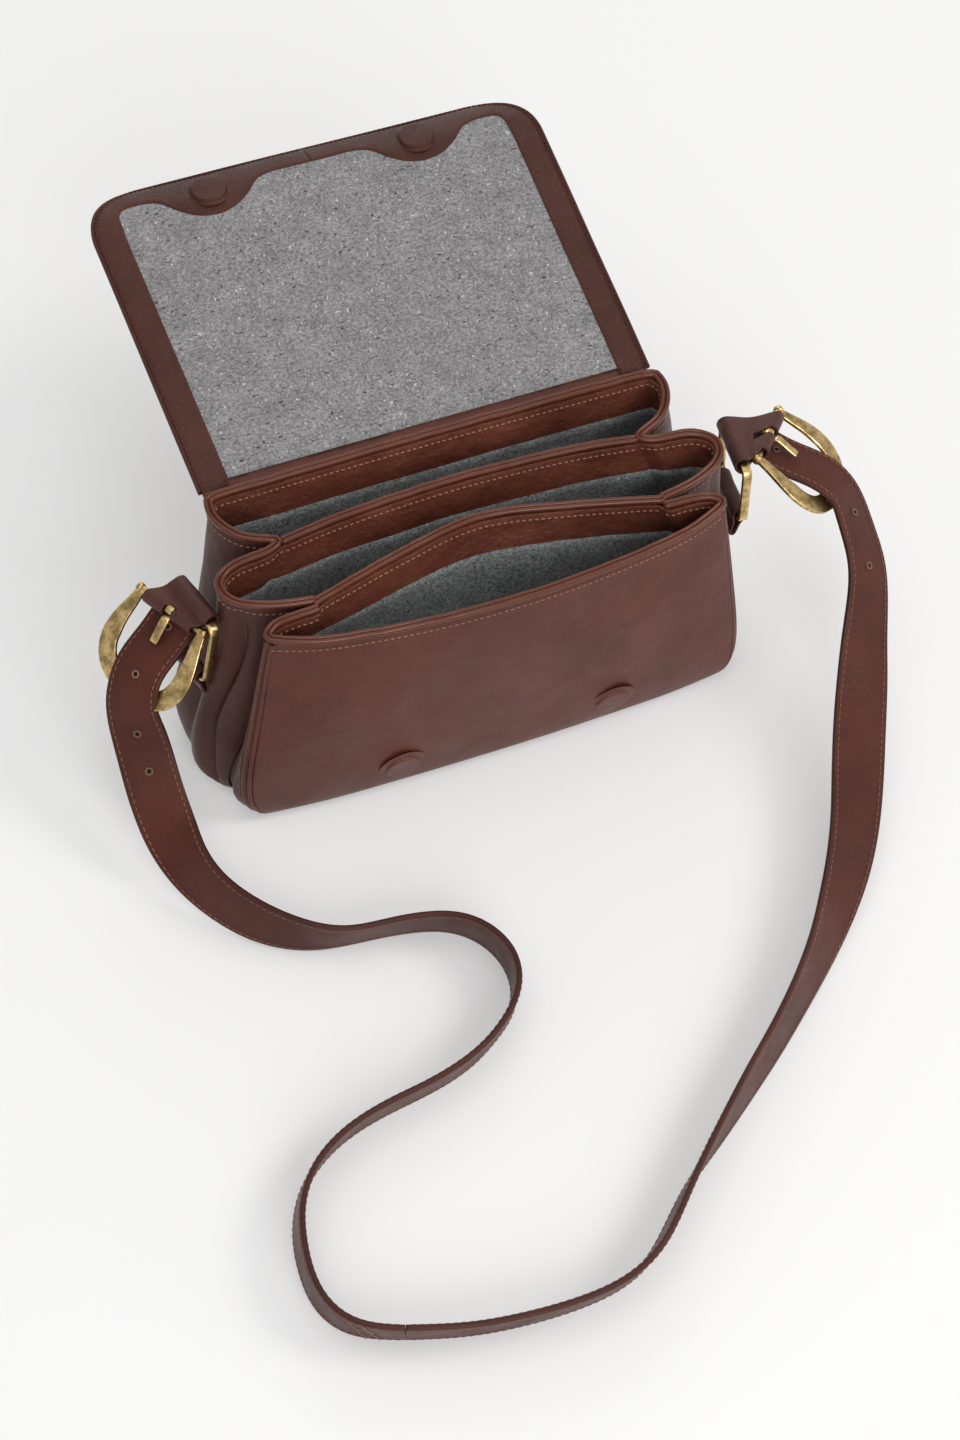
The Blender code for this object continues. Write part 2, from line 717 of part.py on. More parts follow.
def seat(made, origin, x_axis, y_axis, z_axis):
    made.matrix_world = Matrix.Translation(Vector(origin) * MM) @ Matrix(
        ((x_axis.x, y_axis.x, z_axis.x), (x_axis.y, y_axis.y, z_axis.y), (x_axis.z, y_axis.z, z_axis.z))
    ).to_4x4()
    return made


def rounded_box(width, height, radius, steps):
    line = []
    for quarter, (cx, cy) in enumerate(((1, 1), (-1, 1), (-1, -1), (1, -1))):
        for i in range(steps + 1):
            angle = math.pi / 2 * (quarter + i / steps)
            line.append((cx * (width / 2 - radius) + radius * math.cos(angle),
                         cy * (height / 2 - radius) + radius * math.sin(angle)))
    return line


def chamfer(made, width):
    edge = made.modifiers.new("edge", "BEVEL")
    edge.width = width * MM
    edge.segments = 1
    edge.limit_method = "ANGLE"
    edge.angle_limit = math.radians(50)


def wrapped(name, first_at, first_line, second_at, second_line, radii, width, surface):
    """A leather band folded round two bars, which needn't be parallel."""
    rows = []
    for part in (-0.5, -0.25, 0.0, 0.25, 0.5):
        a = first_at + first_line * width * part
        b = second_at + second_line * width * part
        line = (first_line + second_line).normalized()
        way = b - a
        way = (way - line * way.dot(line)).normalized()
        up = line.cross(way)
        row = []
        lean = math.asin((radii[0] - radii[1]) / (b - a).length)
        for i in range(7):
            angle = math.pi / 2 - lean + (math.pi + 2 * lean) * i / 6
            row.append(a + way * radii[0] * math.cos(angle) + up * radii[0] * math.sin(angle))
        for i in range(7):
            angle = -math.pi / 2 + lean + (math.pi - 2 * lean) * i / 6
            row.append(b + way * radii[1] * math.cos(angle) + up * radii[1] * math.sin(angle))
        rows.append(row)
    return sheet(name, rows, SLEEVE, surface, closed=True)


def ring(side):
    name = "ring_" + side["name"]
    top = Vector(side["ring"])
    line = Vector(side["ring_line"]).normalized()
    down = Vector(side["ring_foot"])
    centre = top + down / 2
    outer = rounded_box(RING_LONG, RING_TALL, RING_CORNER, 5)
    inner = rounded_box(RING_LONG - 2 * RING_BAND, RING_TALL - 2 * RING_BAND, RING_CORNER - RING_BAND, 5)
    rows = [[Vector((x, y, 0)) for x, y in ring_line] for ring_line in (inner, outer)]
    made = sheet(name, rows, RING_THICK, brass(name), closed=True)
    chamfer(made, 0.5)
    up = -down.normalized()
    return seat(made, centre, line, up, line.cross(up))


def buckle_frame(side):
    name = "buckle_frame_" + side["name"]
    half = ((-1.2, -21.7), (8, -23.2), (22, -25.5), (34, -25.0), (43, -19.8), (47.8, -10.5), (49.3, 0))
    path = [Vector(p) for p in half] + [Vector((p[0], -p[1])) for p in half[-2::-1]]
    path = smooth(path, 27)
    rows = [[], [], []]
    for i, p in enumerate(path):
        way = (path[min(i + 1, len(path) - 1)] - path[max(i - 1, 0)]).normalized()
        wide = 3.3 + 1.0 * max(0.0, p.x / 50) ** 2
        bow = FRAME_BOW * math.sin(math.pi * max(0.0, min(1.0, p.x / 50)))
        for row, shift in zip(rows, (-1, 0, 1)):
            spot_point = p + Vector((way.y, -way.x)) * wide * shift
            row.append(Vector((spot_point.x, spot_point.y, bow)))
    made = sheet(name, rows, FRAME_THICK, brass(name))
    along, bar, out = frame_axes(side)
    tool_name = "bar_" + side["name"]
    bpy.ops.mesh.primitive_cylinder_add(vertices=16, radius=BAR_RADIUS * MM, depth=2 * BAR_HALF * MM)
    tool = bpy.context.active_object
    tool.name = tool_name
    for other in list(tool.users_collection):
        other.objects.unlink(tool)
    cutters.objects.link(tool)
    tool.display_type = "WIRE"
    tool.hide_render = True
    cut(made, tool, "UNION")
    seat(tool, side["bar"], along, out, bar)
    return seat(made, side["bar"], along, bar, along.cross(bar))


def prong(side):
    name = "prong_" + side["name"]
    outer = []
    start = math.radians(64)
    for i in range(13):
        angle = start + (2 * math.pi - math.radians(50)) * i / 12
        outer.append((PRONG_OUTER * math.cos(angle), PRONG_OUTER * math.sin(angle)))
    outer += [(6, 1.7), (PRONG_REACH - 3, 1.7), (PRONG_REACH, 2.1)]
    outer += [(PRONG_REACH, 2.9), (PRONG_REACH - 2, 3.5), (6, 3.5)]
    turns = [a * math.pi / 8 for a in range(16)]
    bore = [(PRONG_BORE * math.cos(a), PRONG_BORE * math.sin(a)) for a in turns]
    made = flat_piece(name, [outer, bore], 0.0, PRONG_WIDTH, None)
    made.location.z = 0.0
    made = as_mesh(made, brass(name))
    along, bar, out = frame_axes(side)
    return seat(made, side["bar"], along, out, along.cross(out))


def tab(side):
    name = "strap_tab_" + side["name"]
    line = Vector(side["ring_line"]).normalized()
    along, bar, out = frame_axes(side)
    made = wrapped(name, Vector(side["ring"]), line, Vector(side["bar"]), bar,
                   (RING_SLEEVE, BAR_SLEEVE), BAND_WIDTH, leather(name))
    bpy.ops.mesh.primitive_cube_add(size=MM)
    tool = bpy.context.active_object
    tool.name = "prong_slot_" + side["name"]
    tool.scale = (12.0, PRONG_SLOT, 14.0)
    for other in list(tool.users_collection):
        other.objects.unlink(tool)
    cutters.objects.link(tool)
    tool.display_type = "WIRE"
    tool.hide_render = True
    inward = Vector(side["ring"]) - Vector(side["bar"])
    inward = (inward - bar * inward.dot(bar)).normalized()
    middle_of_slot = Vector(side["bar"]) - inward * 1.9
    up = inward.cross(bar)
    seat(tool, middle_of_slot, inward, bar, up)
    tool.scale = (12.0, PRONG_SLOT, 14.0)
    return cut(made, tool, "DIFFERENCE")


def gusset_loop(side):
    name = "gusset_loop_" + side["name"]
    line = Vector(side["ring_line"]).normalized()
    foot = Vector(side["ring"]) + Vector(side["ring_foot"])
    end = foot + Vector(side["loop_tail"])
    return wrapped(name, foot, line, end, line, (RING_SLEEVE, LOOP_TAIL_RADIUS), BAND_WIDTH, leather(name))


for side in (LEFT, RIGHT):
    ring(side)
    gusset_loop(side)
    tab(side)
    buckle_frame(side)
    prong(side)


# Strap ------------------------------------------------------------------------------

def strap(side, route):
    along, bar, out = frame_axes(side)
    at = Vector(side["bar"])
    points = [at + along * d + out * h for d, h in THREADING]
    widths = [bar.copy() for _ in THREADING]
    points += [Vector(p) for p, _ in route]
    widths += [Vector(w) for _, w in route]
    dense = smooth([(p.x, p.y, p.z) for p in points], 64)
    turned = []
    for p in dense:
        near_one = sorted(range(len(points)), key=lambda i: (points[i] - p).length)[:2]
        a, b = near_one
        gap_a = (points[a] - p).length
        gap_b = (points[b] - p).length
        turned.append((widths[a] * gap_b + widths[b] * gap_a).normalized())
    rows = [[], []]
    for i, p in enumerate(dense):
        way = (dense[min(i + 1, len(dense) - 1)] - dense[max(i - 1, 0)]).normalized()
        across = (turned[i] - way * turned[i].dot(way)).normalized()
        rows[0].append(p - across * (STRAP_WIDTH / 2))
        rows[1].append(p + across * (STRAP_WIDTH / 2))
    name = "strap_" + side["name"]
    return sheet(name, rows, STRAP_THICK, leather(name))


strap(LEFT, LEFT_ROUTE)
strap(RIGHT, RIGHT_ROUTE)
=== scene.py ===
"""Looks of the crossbody purse: stitched leather, wool lining, antique brass and the strap.

Lengths are millimetres unless said otherwise, in the frame's axes: +X along the width, +Y to the
back, +Z up. The outlines are those of the solids, drawn with finer steps. The front panel's sides and
lower corners are rounder than in the solids, and the leather at the flap's two bends is in one piece.
"""

import random
from math import copysign, cos, exp, pi, radians, sin, sqrt

import bpy
from mathutils import Matrix, Vector, noise


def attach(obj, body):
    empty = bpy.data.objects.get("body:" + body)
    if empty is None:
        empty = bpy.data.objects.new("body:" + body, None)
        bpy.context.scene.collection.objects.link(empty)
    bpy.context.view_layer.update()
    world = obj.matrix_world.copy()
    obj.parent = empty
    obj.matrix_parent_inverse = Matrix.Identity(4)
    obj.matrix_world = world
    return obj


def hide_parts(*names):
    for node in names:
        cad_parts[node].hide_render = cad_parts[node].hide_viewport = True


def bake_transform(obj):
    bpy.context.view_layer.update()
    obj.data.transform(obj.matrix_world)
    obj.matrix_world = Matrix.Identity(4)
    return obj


# In metres
MM = 0.001
FLOOR_REACH = 30.0
FLOOR_LEVEL = -0.0002

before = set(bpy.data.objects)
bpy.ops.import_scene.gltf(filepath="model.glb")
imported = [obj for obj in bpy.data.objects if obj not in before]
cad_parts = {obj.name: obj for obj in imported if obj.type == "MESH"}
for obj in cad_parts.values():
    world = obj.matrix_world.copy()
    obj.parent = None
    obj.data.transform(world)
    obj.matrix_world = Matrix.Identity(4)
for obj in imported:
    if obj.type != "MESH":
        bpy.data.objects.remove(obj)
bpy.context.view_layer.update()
random.seed(4)

# Camera: where it looks from, and its lens
CAMERA_AZIMUTH = radians(-22.62)
CAMERA_ELEVATION = radians(50.41)
CAMERA_ROLL = radians(0.56)
CAMERA_TARGET = Vector((-4.07, -34.35, 0.0))
CAMERA_DISTANCE = 1633.55
LENS = 72.99

# The bag's heights, and how its walls leave the straight line between top and foot
RIM_HEIGHT = 147.0
RIM_SLOPE = 0.15
WALL = 1.8
WALL_FOOT = 1.0
WALL_DROP = 2.2
LEVEL_DROP = 2.8
LEFT_SWELL = 110.0
RIGHT_SWELL = 65.0
RIGHT_TUCK = 5.0
FRONT_SWELL = 3.0
EDGE_SWELL = {-1: 10.0, 1: 5.0}
EDGE_FROM = 24.0
CORNER_RADIUS = 22.0
CORNER_TURN = 8.5
UNDER_TURN = 4.0
FOOT_RADIUS = 10.0
FOOT_TURN = 6.0
MID_DEPTH = -12.0
HALF_DEPTH = 50.0
HALF_WIDTH = 150.0
WALL_HEIGHTS = (1.0, 2.2, 3.8, 6.0, 8.5, 12, 17, 23, 30, 38, 46, 55, 64, 74, 84, 94, 104, 114, -22, -15, -8,
                -WALL_DROP)
CREASE_DEEP = 8.0
CREASE_WIDE = 2.9
CREASE_Y = -25.5
CREASE_BOW = 5.5
CREASE_BOW_Z = 58.0
CREASE_BOW_TALL = 34.0
CREASE_FROM = 104.0
PUCKER_FROM = 120.0
PUCKER_REACH = 30.0

# Linings and facings: how far inside the walls they lie, and their rows
INSET = 2.6
FACING_INSET = 2.1
SLACK = 1.6
MITRE_LIMIT = 0.6
LINING_HEIGHTS = (3.2, 4.2, 6.5, 12, 20, 30, 42, 56, 70, 84, 98, 108, -33, -28, -23)
FACING_HEIGHTS = (-24.5, -24.2, -20, -16, -12, -8, -4, -1.6)
FACING_SEAM = -5.4
LINING_SEAM = -27.5

# Outlines of the walls in plan, at the rim and at the foot
BACK_TOP = ((-124, 42), (0, 43), (124, 42))
BACK_FOOT = ((-145.5, 37.5), (0, 38.5), (145.5, 37.5))
REAR_LOBE_TOP = (
    (-126, 41), (-129.5, 35), (-128, 25), (-121, 14.5), (-111, 8.5), (-104.5, 6.2), (-102.5, 3.8),
)
REAR_LOBE_FOOT = (
    (-148, 36), (-154.5, 31), (-157, 24), (-158, 17), (-158.5, 11), (-158.5, 7), (-158.5, 3.8),
)
MIDDLE_LOBE_TOP = (
    (-102.5, 3.8), (-104.5, 1.5), (-113, -0.5), (-129, -2.5), (-139, -8), (-141, -16),
    (-136, -24.5), (-123, -31), (-110, -34.5), (-101, -36),
)
MIDDLE_LOBE_FOOT = (
    (-158.5, 3.8), (-158.5, 0.5), (-158.5, -3), (-158.5, -8), (-158, -13), (-157, -18),
    (-155.5, -22.5), (-153.5, -26.5), (-151, -29.5), (-148.5, -31.5),
)
REAR_DIVIDER_TOP = ((-97.5, 3.8), (-60, 8.5), (0, 11), (60, 8.5), (97.5, 3.8))
REAR_DIVIDER_FOOT = ((-152, 3.8), (-76, 4), (0, 4), (76, 4), (152, 3.8))
FRONT_DIVIDER_TOP = ((-95, -37), (-50, -25), (0, -16), (50, -25), (95, -37))
FRONT_DIVIDER_FOOT = ((-142, -33), (-72, -31), (0, -30), (72, -31), (142, -33))
POUCH_SIDE_TOP = ((-100, -42), (-112, -42.5), (-122, -44), (-128.5, -48.5))
POUCH_SIDE_FOOT = ((-144, -37), (-146, -41), (-145.5, -46.5), (-141.5, -52.5))
FRONT_TOP = ((-126, -53), (-99, -61.5), (-50, -68), (0, -70), (50, -68), (99, -61.5), (126, -53))
FRONT_FOOT = (
    (-137.5, -57), (-100, -60.5), (-50, -62), (0, -62.5), (50, -62), (100, -60.5), (137.5, -57),
)

# Flap: its hinge line, how it leans and curls, its outline, and how high its layers lie
HINGE_Y = 47.0
HINGE_Z = 152.5
FLAP_OPEN = radians(15)
FLAP_DROP = -6.8
FLAP_START = 3.0
FLAP_FOLD = 122.0
FLAP_FLAT = 175.0
FLAP_LENGTH = 204.0
FLAP_EDGE = FLAP_LENGTH - 0.1
FLAP_CURL = radians(42)
FLAP_HALF_HINGE = 129.5
FLAP_HALF_FAR = 133.0
FLAP_CORNER = 36.0
TURN_HALF = 128.5
MAGNET_LIFT = 2.2
EDGE_LIFT = 0.75
CLOTH_LIFT = 1.35
BORDER_LIFT = 1.95
THREAD_LIFT = 2.55
BEND_REACH = 8.0
BORDER = 17.0
CORNER_END = -98.0
LOBE_OUT = 62.0
LOBE_DEEP = 36.0
MAGNET_RADIUS = 10.0
MAGNET_FROM_EDGE = 20.0
FRONT_MAGNET_Z = 22.0

# Strap hardware: the ring's top bar, the buckle's bar, and the way that the frame points
BAND_WIDTH = 34.0
RING_WIDTH = 43.0
RING_HEIGHT = 39.0
RING_CORNER = 5.0
BAR_HALF = 24.6
EAR_FROM = 21.6
PRONG_CURL = 2.95
SIDES = {
    "left": {
        "ring": (-152.4, -2.0, 125.4),
        "ring_line": (0.21, -0.978, 0.0),
        "ring_foot": (-7.5, 0.0, -38.4),
        "loop_tail": (1.5, 0.0, -12.0),
        "bar": (-163.5, 1.8, 120.8),
        "bar_line": (0.45, -0.89, -0.05),
        "frame": (-0.574, -0.332, -0.749),
    },
    "right": {
        "ring": (160.0, -1.0, 124.5),
        "ring_line": (-0.145, -0.989, 0.0),
        "ring_foot": (0.0, 0.0, -39.0),
        "loop_tail": (-3.5, 0.0, -12.0),
        "bar": (182.0, 3.8, 120.0),
        "bar_line": (-0.65, -0.75, 0.11),
        "frame": (0.596, -0.571, -0.565),
    },
}

# Strap: how far along it stops following its tab, its holes, its way through the buckle (along the
# frame, out of its plane), then its route beyond the buckle and the way that its width points
STRAP_WIDTH = 30.0
STRAP_THICK = 3.2
STRAP_CORNER = 1.2
PAINTED_WIDE = 1.3
STITCH_INSET = 2.7
STRAP_STEP = 2.2
STRAP_EASE = 30
HOLES = {"left": (9.0, 39.5, 74.0, 95.5), "right": (9.0, 66.0, 98.0)}
HOLE_RADIUS = 1.75
THREADING = ((1.5, -7.2), (9.0, -6.1), (17.0, -4.1), (24.0, -0.9), (31.0, 3.6), (38.0, 5.5))
LEFT_ROUTE = (
    ((-192.7, -14.8, 90.4), (0.54, -0.84, -0.04)),
    ((-196.0, -17.4, 85.6), (0.64, -0.77, -0.02)),
    ((-197.0, -19.4, 79.0), (0.75, -0.66, 0.02)),
    ((-195.6, -24.0, 66.0), (0.87, -0.48, 0.08)),
    ((-195.0, -33.0, 53.5), (0.94, -0.3, 0.14)),
    ((-195.5, -46.0, 41.8), (0.97, -0.16, 0.17)),
    ((-195.0, -61.0, 33.0), (0.97, -0.08, 0.24)),
    ((-194.0, -75.0, 27.0), (0.82, -0.12, 0.56)),
    ((-191.0, -90.0, 22.5), (0.62, -0.03, 0.79)),
    ((-184.0, -107.0, 18.8), (0.4, 0.03, 0.92)),
    ((-171.0, -127.0, 16.5), (0.25, 0.05, 0.97)),
    ((-152.0, -144.5, 15.4), (0.08, -0.1, 0.99)),
    ((-130.0, -155.0, 15.0), (0.0, -0.35, 0.94)),
    ((-101.0, -158.6, 15.0), (0.0, -0.35, 0.94)),
    ((-75.0, -166.0, 15.1), (-0.14, -0.28, 0.95)),
    ((-60.0, -182.0, 15.3), (-0.15, -0.08, 0.99)),
    ((-54.8, -203.0, 15.3), (0.0, 0.0, 1.0)),
    ((-60.0, -222.0, 15.3), (0.12, -0.05, 0.99)),
    ((-74.0, -236.5, 15.1), (0.17, -0.2, 0.96)),
    ((-96.0, -250.0, 15.1), (0.13, -0.28, 0.95)),
    ((-122.0, -257.0, 15.0), (0.05, -0.34, 0.94)),
    ((-148.0, -260.5, 15.0), (0.08, -0.33, 0.94)),
    ((-173.0, -267.5, 15.0), (0.12, -0.3, 0.95)),
    ((-194.0, -281.0, 15.1), (0.17, -0.22, 0.96)),
    ((-208.0, -301.0, 15.3), (0.15, -0.1, 0.98)),
    ((-214.0, -323.0, 15.3), (0.1, -0.03, 0.99)),
    ((-215.5, -345.0, 15.3), (0.0, 0.0, 1.0)),
    ((-210.0, -361.5, 15.2), (-0.15, -0.1, 0.98)),
    ((-200.0, -371.5, 15.1), (-0.16, -0.26, 0.95)),
    ((-182.7, -379.35, 15.0), (-0.13, -0.3, 0.95)),
)
RIGHT_ROUTE = (
    ((211.7, -25.0, 98.9), (-0.65, -0.75, 0.11)),
    ((216.1, -29.6, 94.2), (-0.65, -0.75, 0.11)),
    ((214.5, -47.0, 85.5), (-0.8, -0.45, 0.32)),
    ((213.7, -65.0, 74.6), (-0.86, -0.12, 0.5)),
    ((208.0, -80.0, 64.5), (-0.83, 0.03, 0.56)),
    ((198.0, -98.0, 54.0), (-0.84, 0.2, 0.5)),
    ((187.0, -119.0, 44.5), (-0.88, 0.33, 0.34)),
    ((174.5, -142.0, 36.5), (-0.89, 0.38, 0.25)),
    ((162.0, -166.0, 30.0), (-0.87, 0.41, 0.29)),
    ((149.0, -190.0, 25.3), (-0.8, 0.4, 0.44)),
    ((134.0, -213.0, 21.8), (-0.67, 0.42, 0.62)),
    ((116.0, -235.0, 18.9), (-0.5, 0.35, 0.79)),
    ((96.0, -256.5, 17.0), (-0.31, 0.24, 0.92)),
    ((74.0, -277.0, 15.9), (-0.17, 0.16, 0.97)),
    ((50.5, -297.0, 15.3), (-0.1, 0.11, 0.99)),
    ((26.0, -316.0, 15.3), (-0.05, 0.06, 1.0)),
    ((2.0, -335.0, 15.3), (0.03, -0.03, 1.0)),
    ((-21.0, -353.0, 15.2), (0.15, -0.15, 0.98)),
    ((-41.0, -372.0, 15.1), (0.18, -0.18, 0.97)),
    ((-57.0, -386.0, 15.1), (0.16, -0.24, 0.96)),
    ((-76.5, -394.0, 15.0), (0.07, -0.33, 0.94)),
    ((-100.0, -396.0, 15.0), (0.0, -0.35, 0.94)),
    ((-128.0, -394.0, 15.0), (-0.04, -0.34, 0.94)),
    ((-155.0, -389.0, 15.0), (-0.08, -0.33, 0.94)),
    ((-182.6, -379.4, 15.0), (-0.13, -0.3, 0.95)),
)


# Camera and light -----------------------------------------

def aim(obj, spot, way, roll=0.0):
    """Puts an object at spot, looking along -way, turned about that line by roll."""
    right = Vector((0, 0, 1)).cross(way).normalized()
    up = way.cross(right)
    right, up = right * cos(roll) + up * sin(roll), up * cos(roll) - right * sin(roll)
    turn = Matrix(((right.x, up.x, way.x), (right.y, up.y, way.y), (right.z, up.z, way.z)))
    obj.matrix_world = Matrix.Translation(spot) @ turn.to_4x4()


def toward(azimuth, elevation):
    """The direction from the bag to a place round it; azimuth 0 is straight in front."""
    level = cos(elevation)
    return Vector((sin(azimuth) * level, -cos(azimuth) * level, sin(elevation)))


lens = bpy.data.cameras.new("camera")
lens.sensor_fit = "VERTICAL"
lens.sensor_height = 36.0
lens.lens = LENS
camera = bpy.data.objects.new("camera", lens)
bpy.context.scene.collection.objects.link(camera)
back_to_camera = toward(CAMERA_AZIMUTH, CAMERA_ELEVATION)
aim(camera, (CAMERA_TARGET + back_to_camera * CAMERA_DISTANCE) * MM, back_to_camera, CAMERA_ROLL)
bpy.context.scene.camera = camera


def softbox(name, azimuth, elevation, distance, size, power, colour=(1.0, 1.0, 1.0)):
    """A round soft light: its direction in degrees, distance and size in metres, and power in watts."""
    data = bpy.data.lights.new(name, "AREA")
    data.shape = "DISK"
    data.size = size
    data.energy = power
    data.color = colour
    obj = bpy.data.objects.new(name, data)
    bpy.context.scene.collection.objects.link(obj)
    way = toward(radians(azimuth), radians(elevation))
    aim(obj, way * distance + Vector((0, -0.05, 0.05)), way)


softbox("key", 62, 42, distance=4.6, size=1.8, power=66, colour=(1.0, 0.985, 0.965))
softbox("top", -60, 80, distance=3.2, size=2.4, power=19)
softbox("front_fill", -4, 30, distance=3.0, size=1.6, power=40, colour=(0.99, 0.99, 1.0))
softbox("back_sheen", 160, 34, distance=2.6, size=1.4, power=10)

bpy.context.scene.view_settings.view_transform = "Standard"

sky = bpy.data.worlds.new("sky")
bpy.context.scene.world = sky
sky.use_nodes = True
background = sky.node_tree.nodes["Background"]
background.inputs["Color"].default_value = (1.0, 0.985, 0.975, 1.0)
background.inputs["Strength"].default_value = 0.55


# Materials ------------------------------------------------

def blank(name):
    """A new material, its node tree and its shader."""
    made = bpy.data.materials.new(name)
    made.use_nodes = True
    return made, made.node_tree, made.node_tree.nodes["Principled BSDF"]


def fill(tree, node, values):
    """Gives each named input of a node its value or its link."""
    for key, value in values.items():
        if isinstance(value, bpy.types.NodeSocket):
            tree.links.new(value, node.inputs[key])
        else:
            node.inputs[key].default_value = value


def add(tree, kind, values, **settings):
    """A new node with its inputs and settings."""
    made = tree.nodes.new(kind)
    for key, value in settings.items():
        setattr(made, key, value)
    fill(tree, made, values)
    return made


def ramp(tree, source, stops):
    """A colour ramp: stops are (place, colour), or (place, level) for a grey."""
    made = add(tree, "ShaderNodeValToRGB", {"Fac": source})
    while len(made.color_ramp.elements) < len(stops):
        made.color_ramp.elements.new(0.5)
    for element, (place, colour) in zip(made.color_ramp.elements, stops):
        element.position = place
        element.color = (*colour, 1.0) if isinstance(colour, tuple) else (colour, colour, colour, 1.0)
    return made.outputs["Color"]


def mix(tree, factor, first, second, blend="MIX"):
    made = add(tree, "ShaderNodeMixRGB", {"Fac": factor, "Color1": first, "Color2": second}, blend_type=blend)
    return made.outputs["Color"]


def noise_at(tree, place, scale, detail=3.0, rough=0.55):
    return add(tree, "ShaderNodeTexNoise",
               {"Vector": place, "Scale": scale, "Detail": detail, "Roughness": rough}).outputs["Fac"]


def leather(name, light, dark, roughness=(0.36, 0.52), grain=1.0, wrinkles=1.0, specular=0.3):
    """Waxed leather: broad shade changes, pores, fine creases and an uneven shine."""
    made, tree, shader = blank(name)
    place = add(tree, "ShaderNodeTexCoord", {}).outputs["Object"]
    broad = noise_at(tree, place, 22, 5)
    fine = noise_at(tree, place, 420, 4, 0.7)
    colour = ramp(tree, broad, ((0.3, dark), (0.72, light)))
    spots = ramp(tree, fine, ((0.3, 0.78), (0.62, 1.0)))
    colour = mix(tree, 0.75, colour, spots, "MULTIPLY")
    shine = ramp(tree, noise_at(tree, place, 60, 4), ((0.3, roughness[0]), (0.7, roughness[1])))
    cells = add(tree, "ShaderNodeTexVoronoi", {"Vector": place, "Scale": 780.0}, feature="DISTANCE_TO_EDGE")
    pores = ramp(tree, cells.outputs["Distance"], ((0.0, 0.0), (0.16, 1.0)))
    soft = noise_at(tree, place, 170, 5, 0.65)
    height = mix(tree, 0.45, pores, soft)
    worn = add(tree, "ShaderNodeBump", {"Strength": 0.3 * wrinkles, "Distance": 0.004,
                                        "Height": noise_at(tree, place, 48, 3, 0.6)})
    bump = add(tree, "ShaderNodeBump", {"Strength": 0.42 * grain, "Distance": 0.0005, "Height": height,
                                        "Normal": worn.outputs["Normal"]})
    fill(tree, shader, {"Base Color": colour, "Roughness": shine, "Normal": bump.outputs["Normal"],
                        "Specular IOR Level": specular, "Specular Tint": (1.0, 0.72, 0.64, 1.0)})
    return made


def wool(name, low, high, dark_fleck, light_fleck):
    """Felted wool: tangled fibres over a faint weave, with dark and pale flecks."""
    made, tree, shader = blank(name)
    place = add(tree, "ShaderNodeTexCoord", {}).outputs["Object"]
    stretch = add(tree, "ShaderNodeMapping", {"Vector": place, "Scale": (1.0, 0.7, 0.7)}).outputs["Vector"]
    across = add(tree, "ShaderNodeMapping", {"Vector": place, "Scale": (0.65, 1.0, 1.0)}).outputs["Vector"]
    fibres = noise_at(tree, stretch, 880, 3, 0.7)
    cross = noise_at(tree, across, 760, 3, 0.7)
    tangle = mix(tree, 0.5, fibres, cross)
    colour = ramp(tree, tangle, ((0.41, low), (0.6, high)))
    shade = ramp(tree, noise_at(tree, place, 75, 5, 0.6), ((0.3, 0.8), (0.7, 1.08)))
    colour = mix(tree, 1.0, colour, shade, "MULTIPLY")
    dark = ramp(tree, noise_at(tree, across, 520, 1, 0.3), ((0.69, 0.0), (0.75, 0.85)))
    colour = mix(tree, dark, colour, (*dark_fleck, 1.0))
    pale = ramp(tree, noise_at(tree, stretch, 590, 1, 0.3), ((0.7, 0.0), (0.76, 0.7)))
    colour = mix(tree, pale, colour, (*light_fleck, 1.0))
    bump = add(tree, "ShaderNodeBump", {"Strength": 0.7, "Distance": 0.0006, "Height": tangle})
    fill(tree, shader, {"Base Color": colour, "Normal": bump.outputs["Normal"], "Roughness": 0.95,
                        "Sheen Weight": 0.1, "Sheen Roughness": 0.6, "Specular IOR Level": 0.2})
    return made


def aged_brass(name, bright, dark):
    """Brass with brown tarnish in patches and fine scratches."""
    made, tree, shader = blank(name)
    place = add(tree, "ShaderNodeTexCoord", {}).outputs["Object"]
    patch = noise_at(tree, place, 130, 6, 0.7)
    colour = ramp(tree, patch, ((0.4, dark), (0.62, bright)))
    rough = ramp(tree, patch, ((0.3, 0.42), (0.7, 0.2)))
    lines = add(tree, "ShaderNodeMapping", {"Vector": place, "Scale": (1.0, 0.12, 0.3)}).outputs["Vector"]
    bump = add(tree, "ShaderNodeBump", {"Strength": 0.12, "Distance": 0.0003,
                                        "Height": noise_at(tree, lines, 1600, 3, 0.6)})
    fill(tree, shader, {"Base Color": colour, "Roughness": rough, "Normal": bump.outputs["Normal"],
                        "Metallic": 1.0})
    return made


SKIN = leather("chestnut_leather", (0.106, 0.0275, 0.0175), (0.062, 0.015, 0.01), (0.33, 0.47),
               specular=0.52)
FLAP_SKIN = leather("flap_leather", (0.06, 0.0175, 0.0122), (0.037, 0.0105, 0.0077), (0.33, 0.47),
                    specular=0.34)
STRAP_SKIN = leather("strap_leather", (0.08, 0.0185, 0.0113), (0.047, 0.011, 0.007), wrinkles=0.4,
                     specular=0.32)
GUSSET_SKIN = leather("gusset_leather", (0.07, 0.0225, 0.018), (0.042, 0.014, 0.0118), (0.33, 0.48),
                      specular=0.4)
FACING_SKIN = leather("facing_leather", (0.16, 0.046, 0.026), (0.088, 0.0245, 0.0145), (0.28, 0.42),
                      grain=1.3, wrinkles=3.2, specular=0.5)
RIM_SKIN = leather("rim_leather", (0.115, 0.034, 0.0185), (0.075, 0.021, 0.012), (0.22, 0.34),
                   grain=0.12, wrinkles=0.2, specular=0.5)
PAINTED_EDGE = leather("painted_edge", (0.062, 0.0185, 0.0135), (0.04, 0.012, 0.009), (0.3, 0.5), 0.5, 0.2)
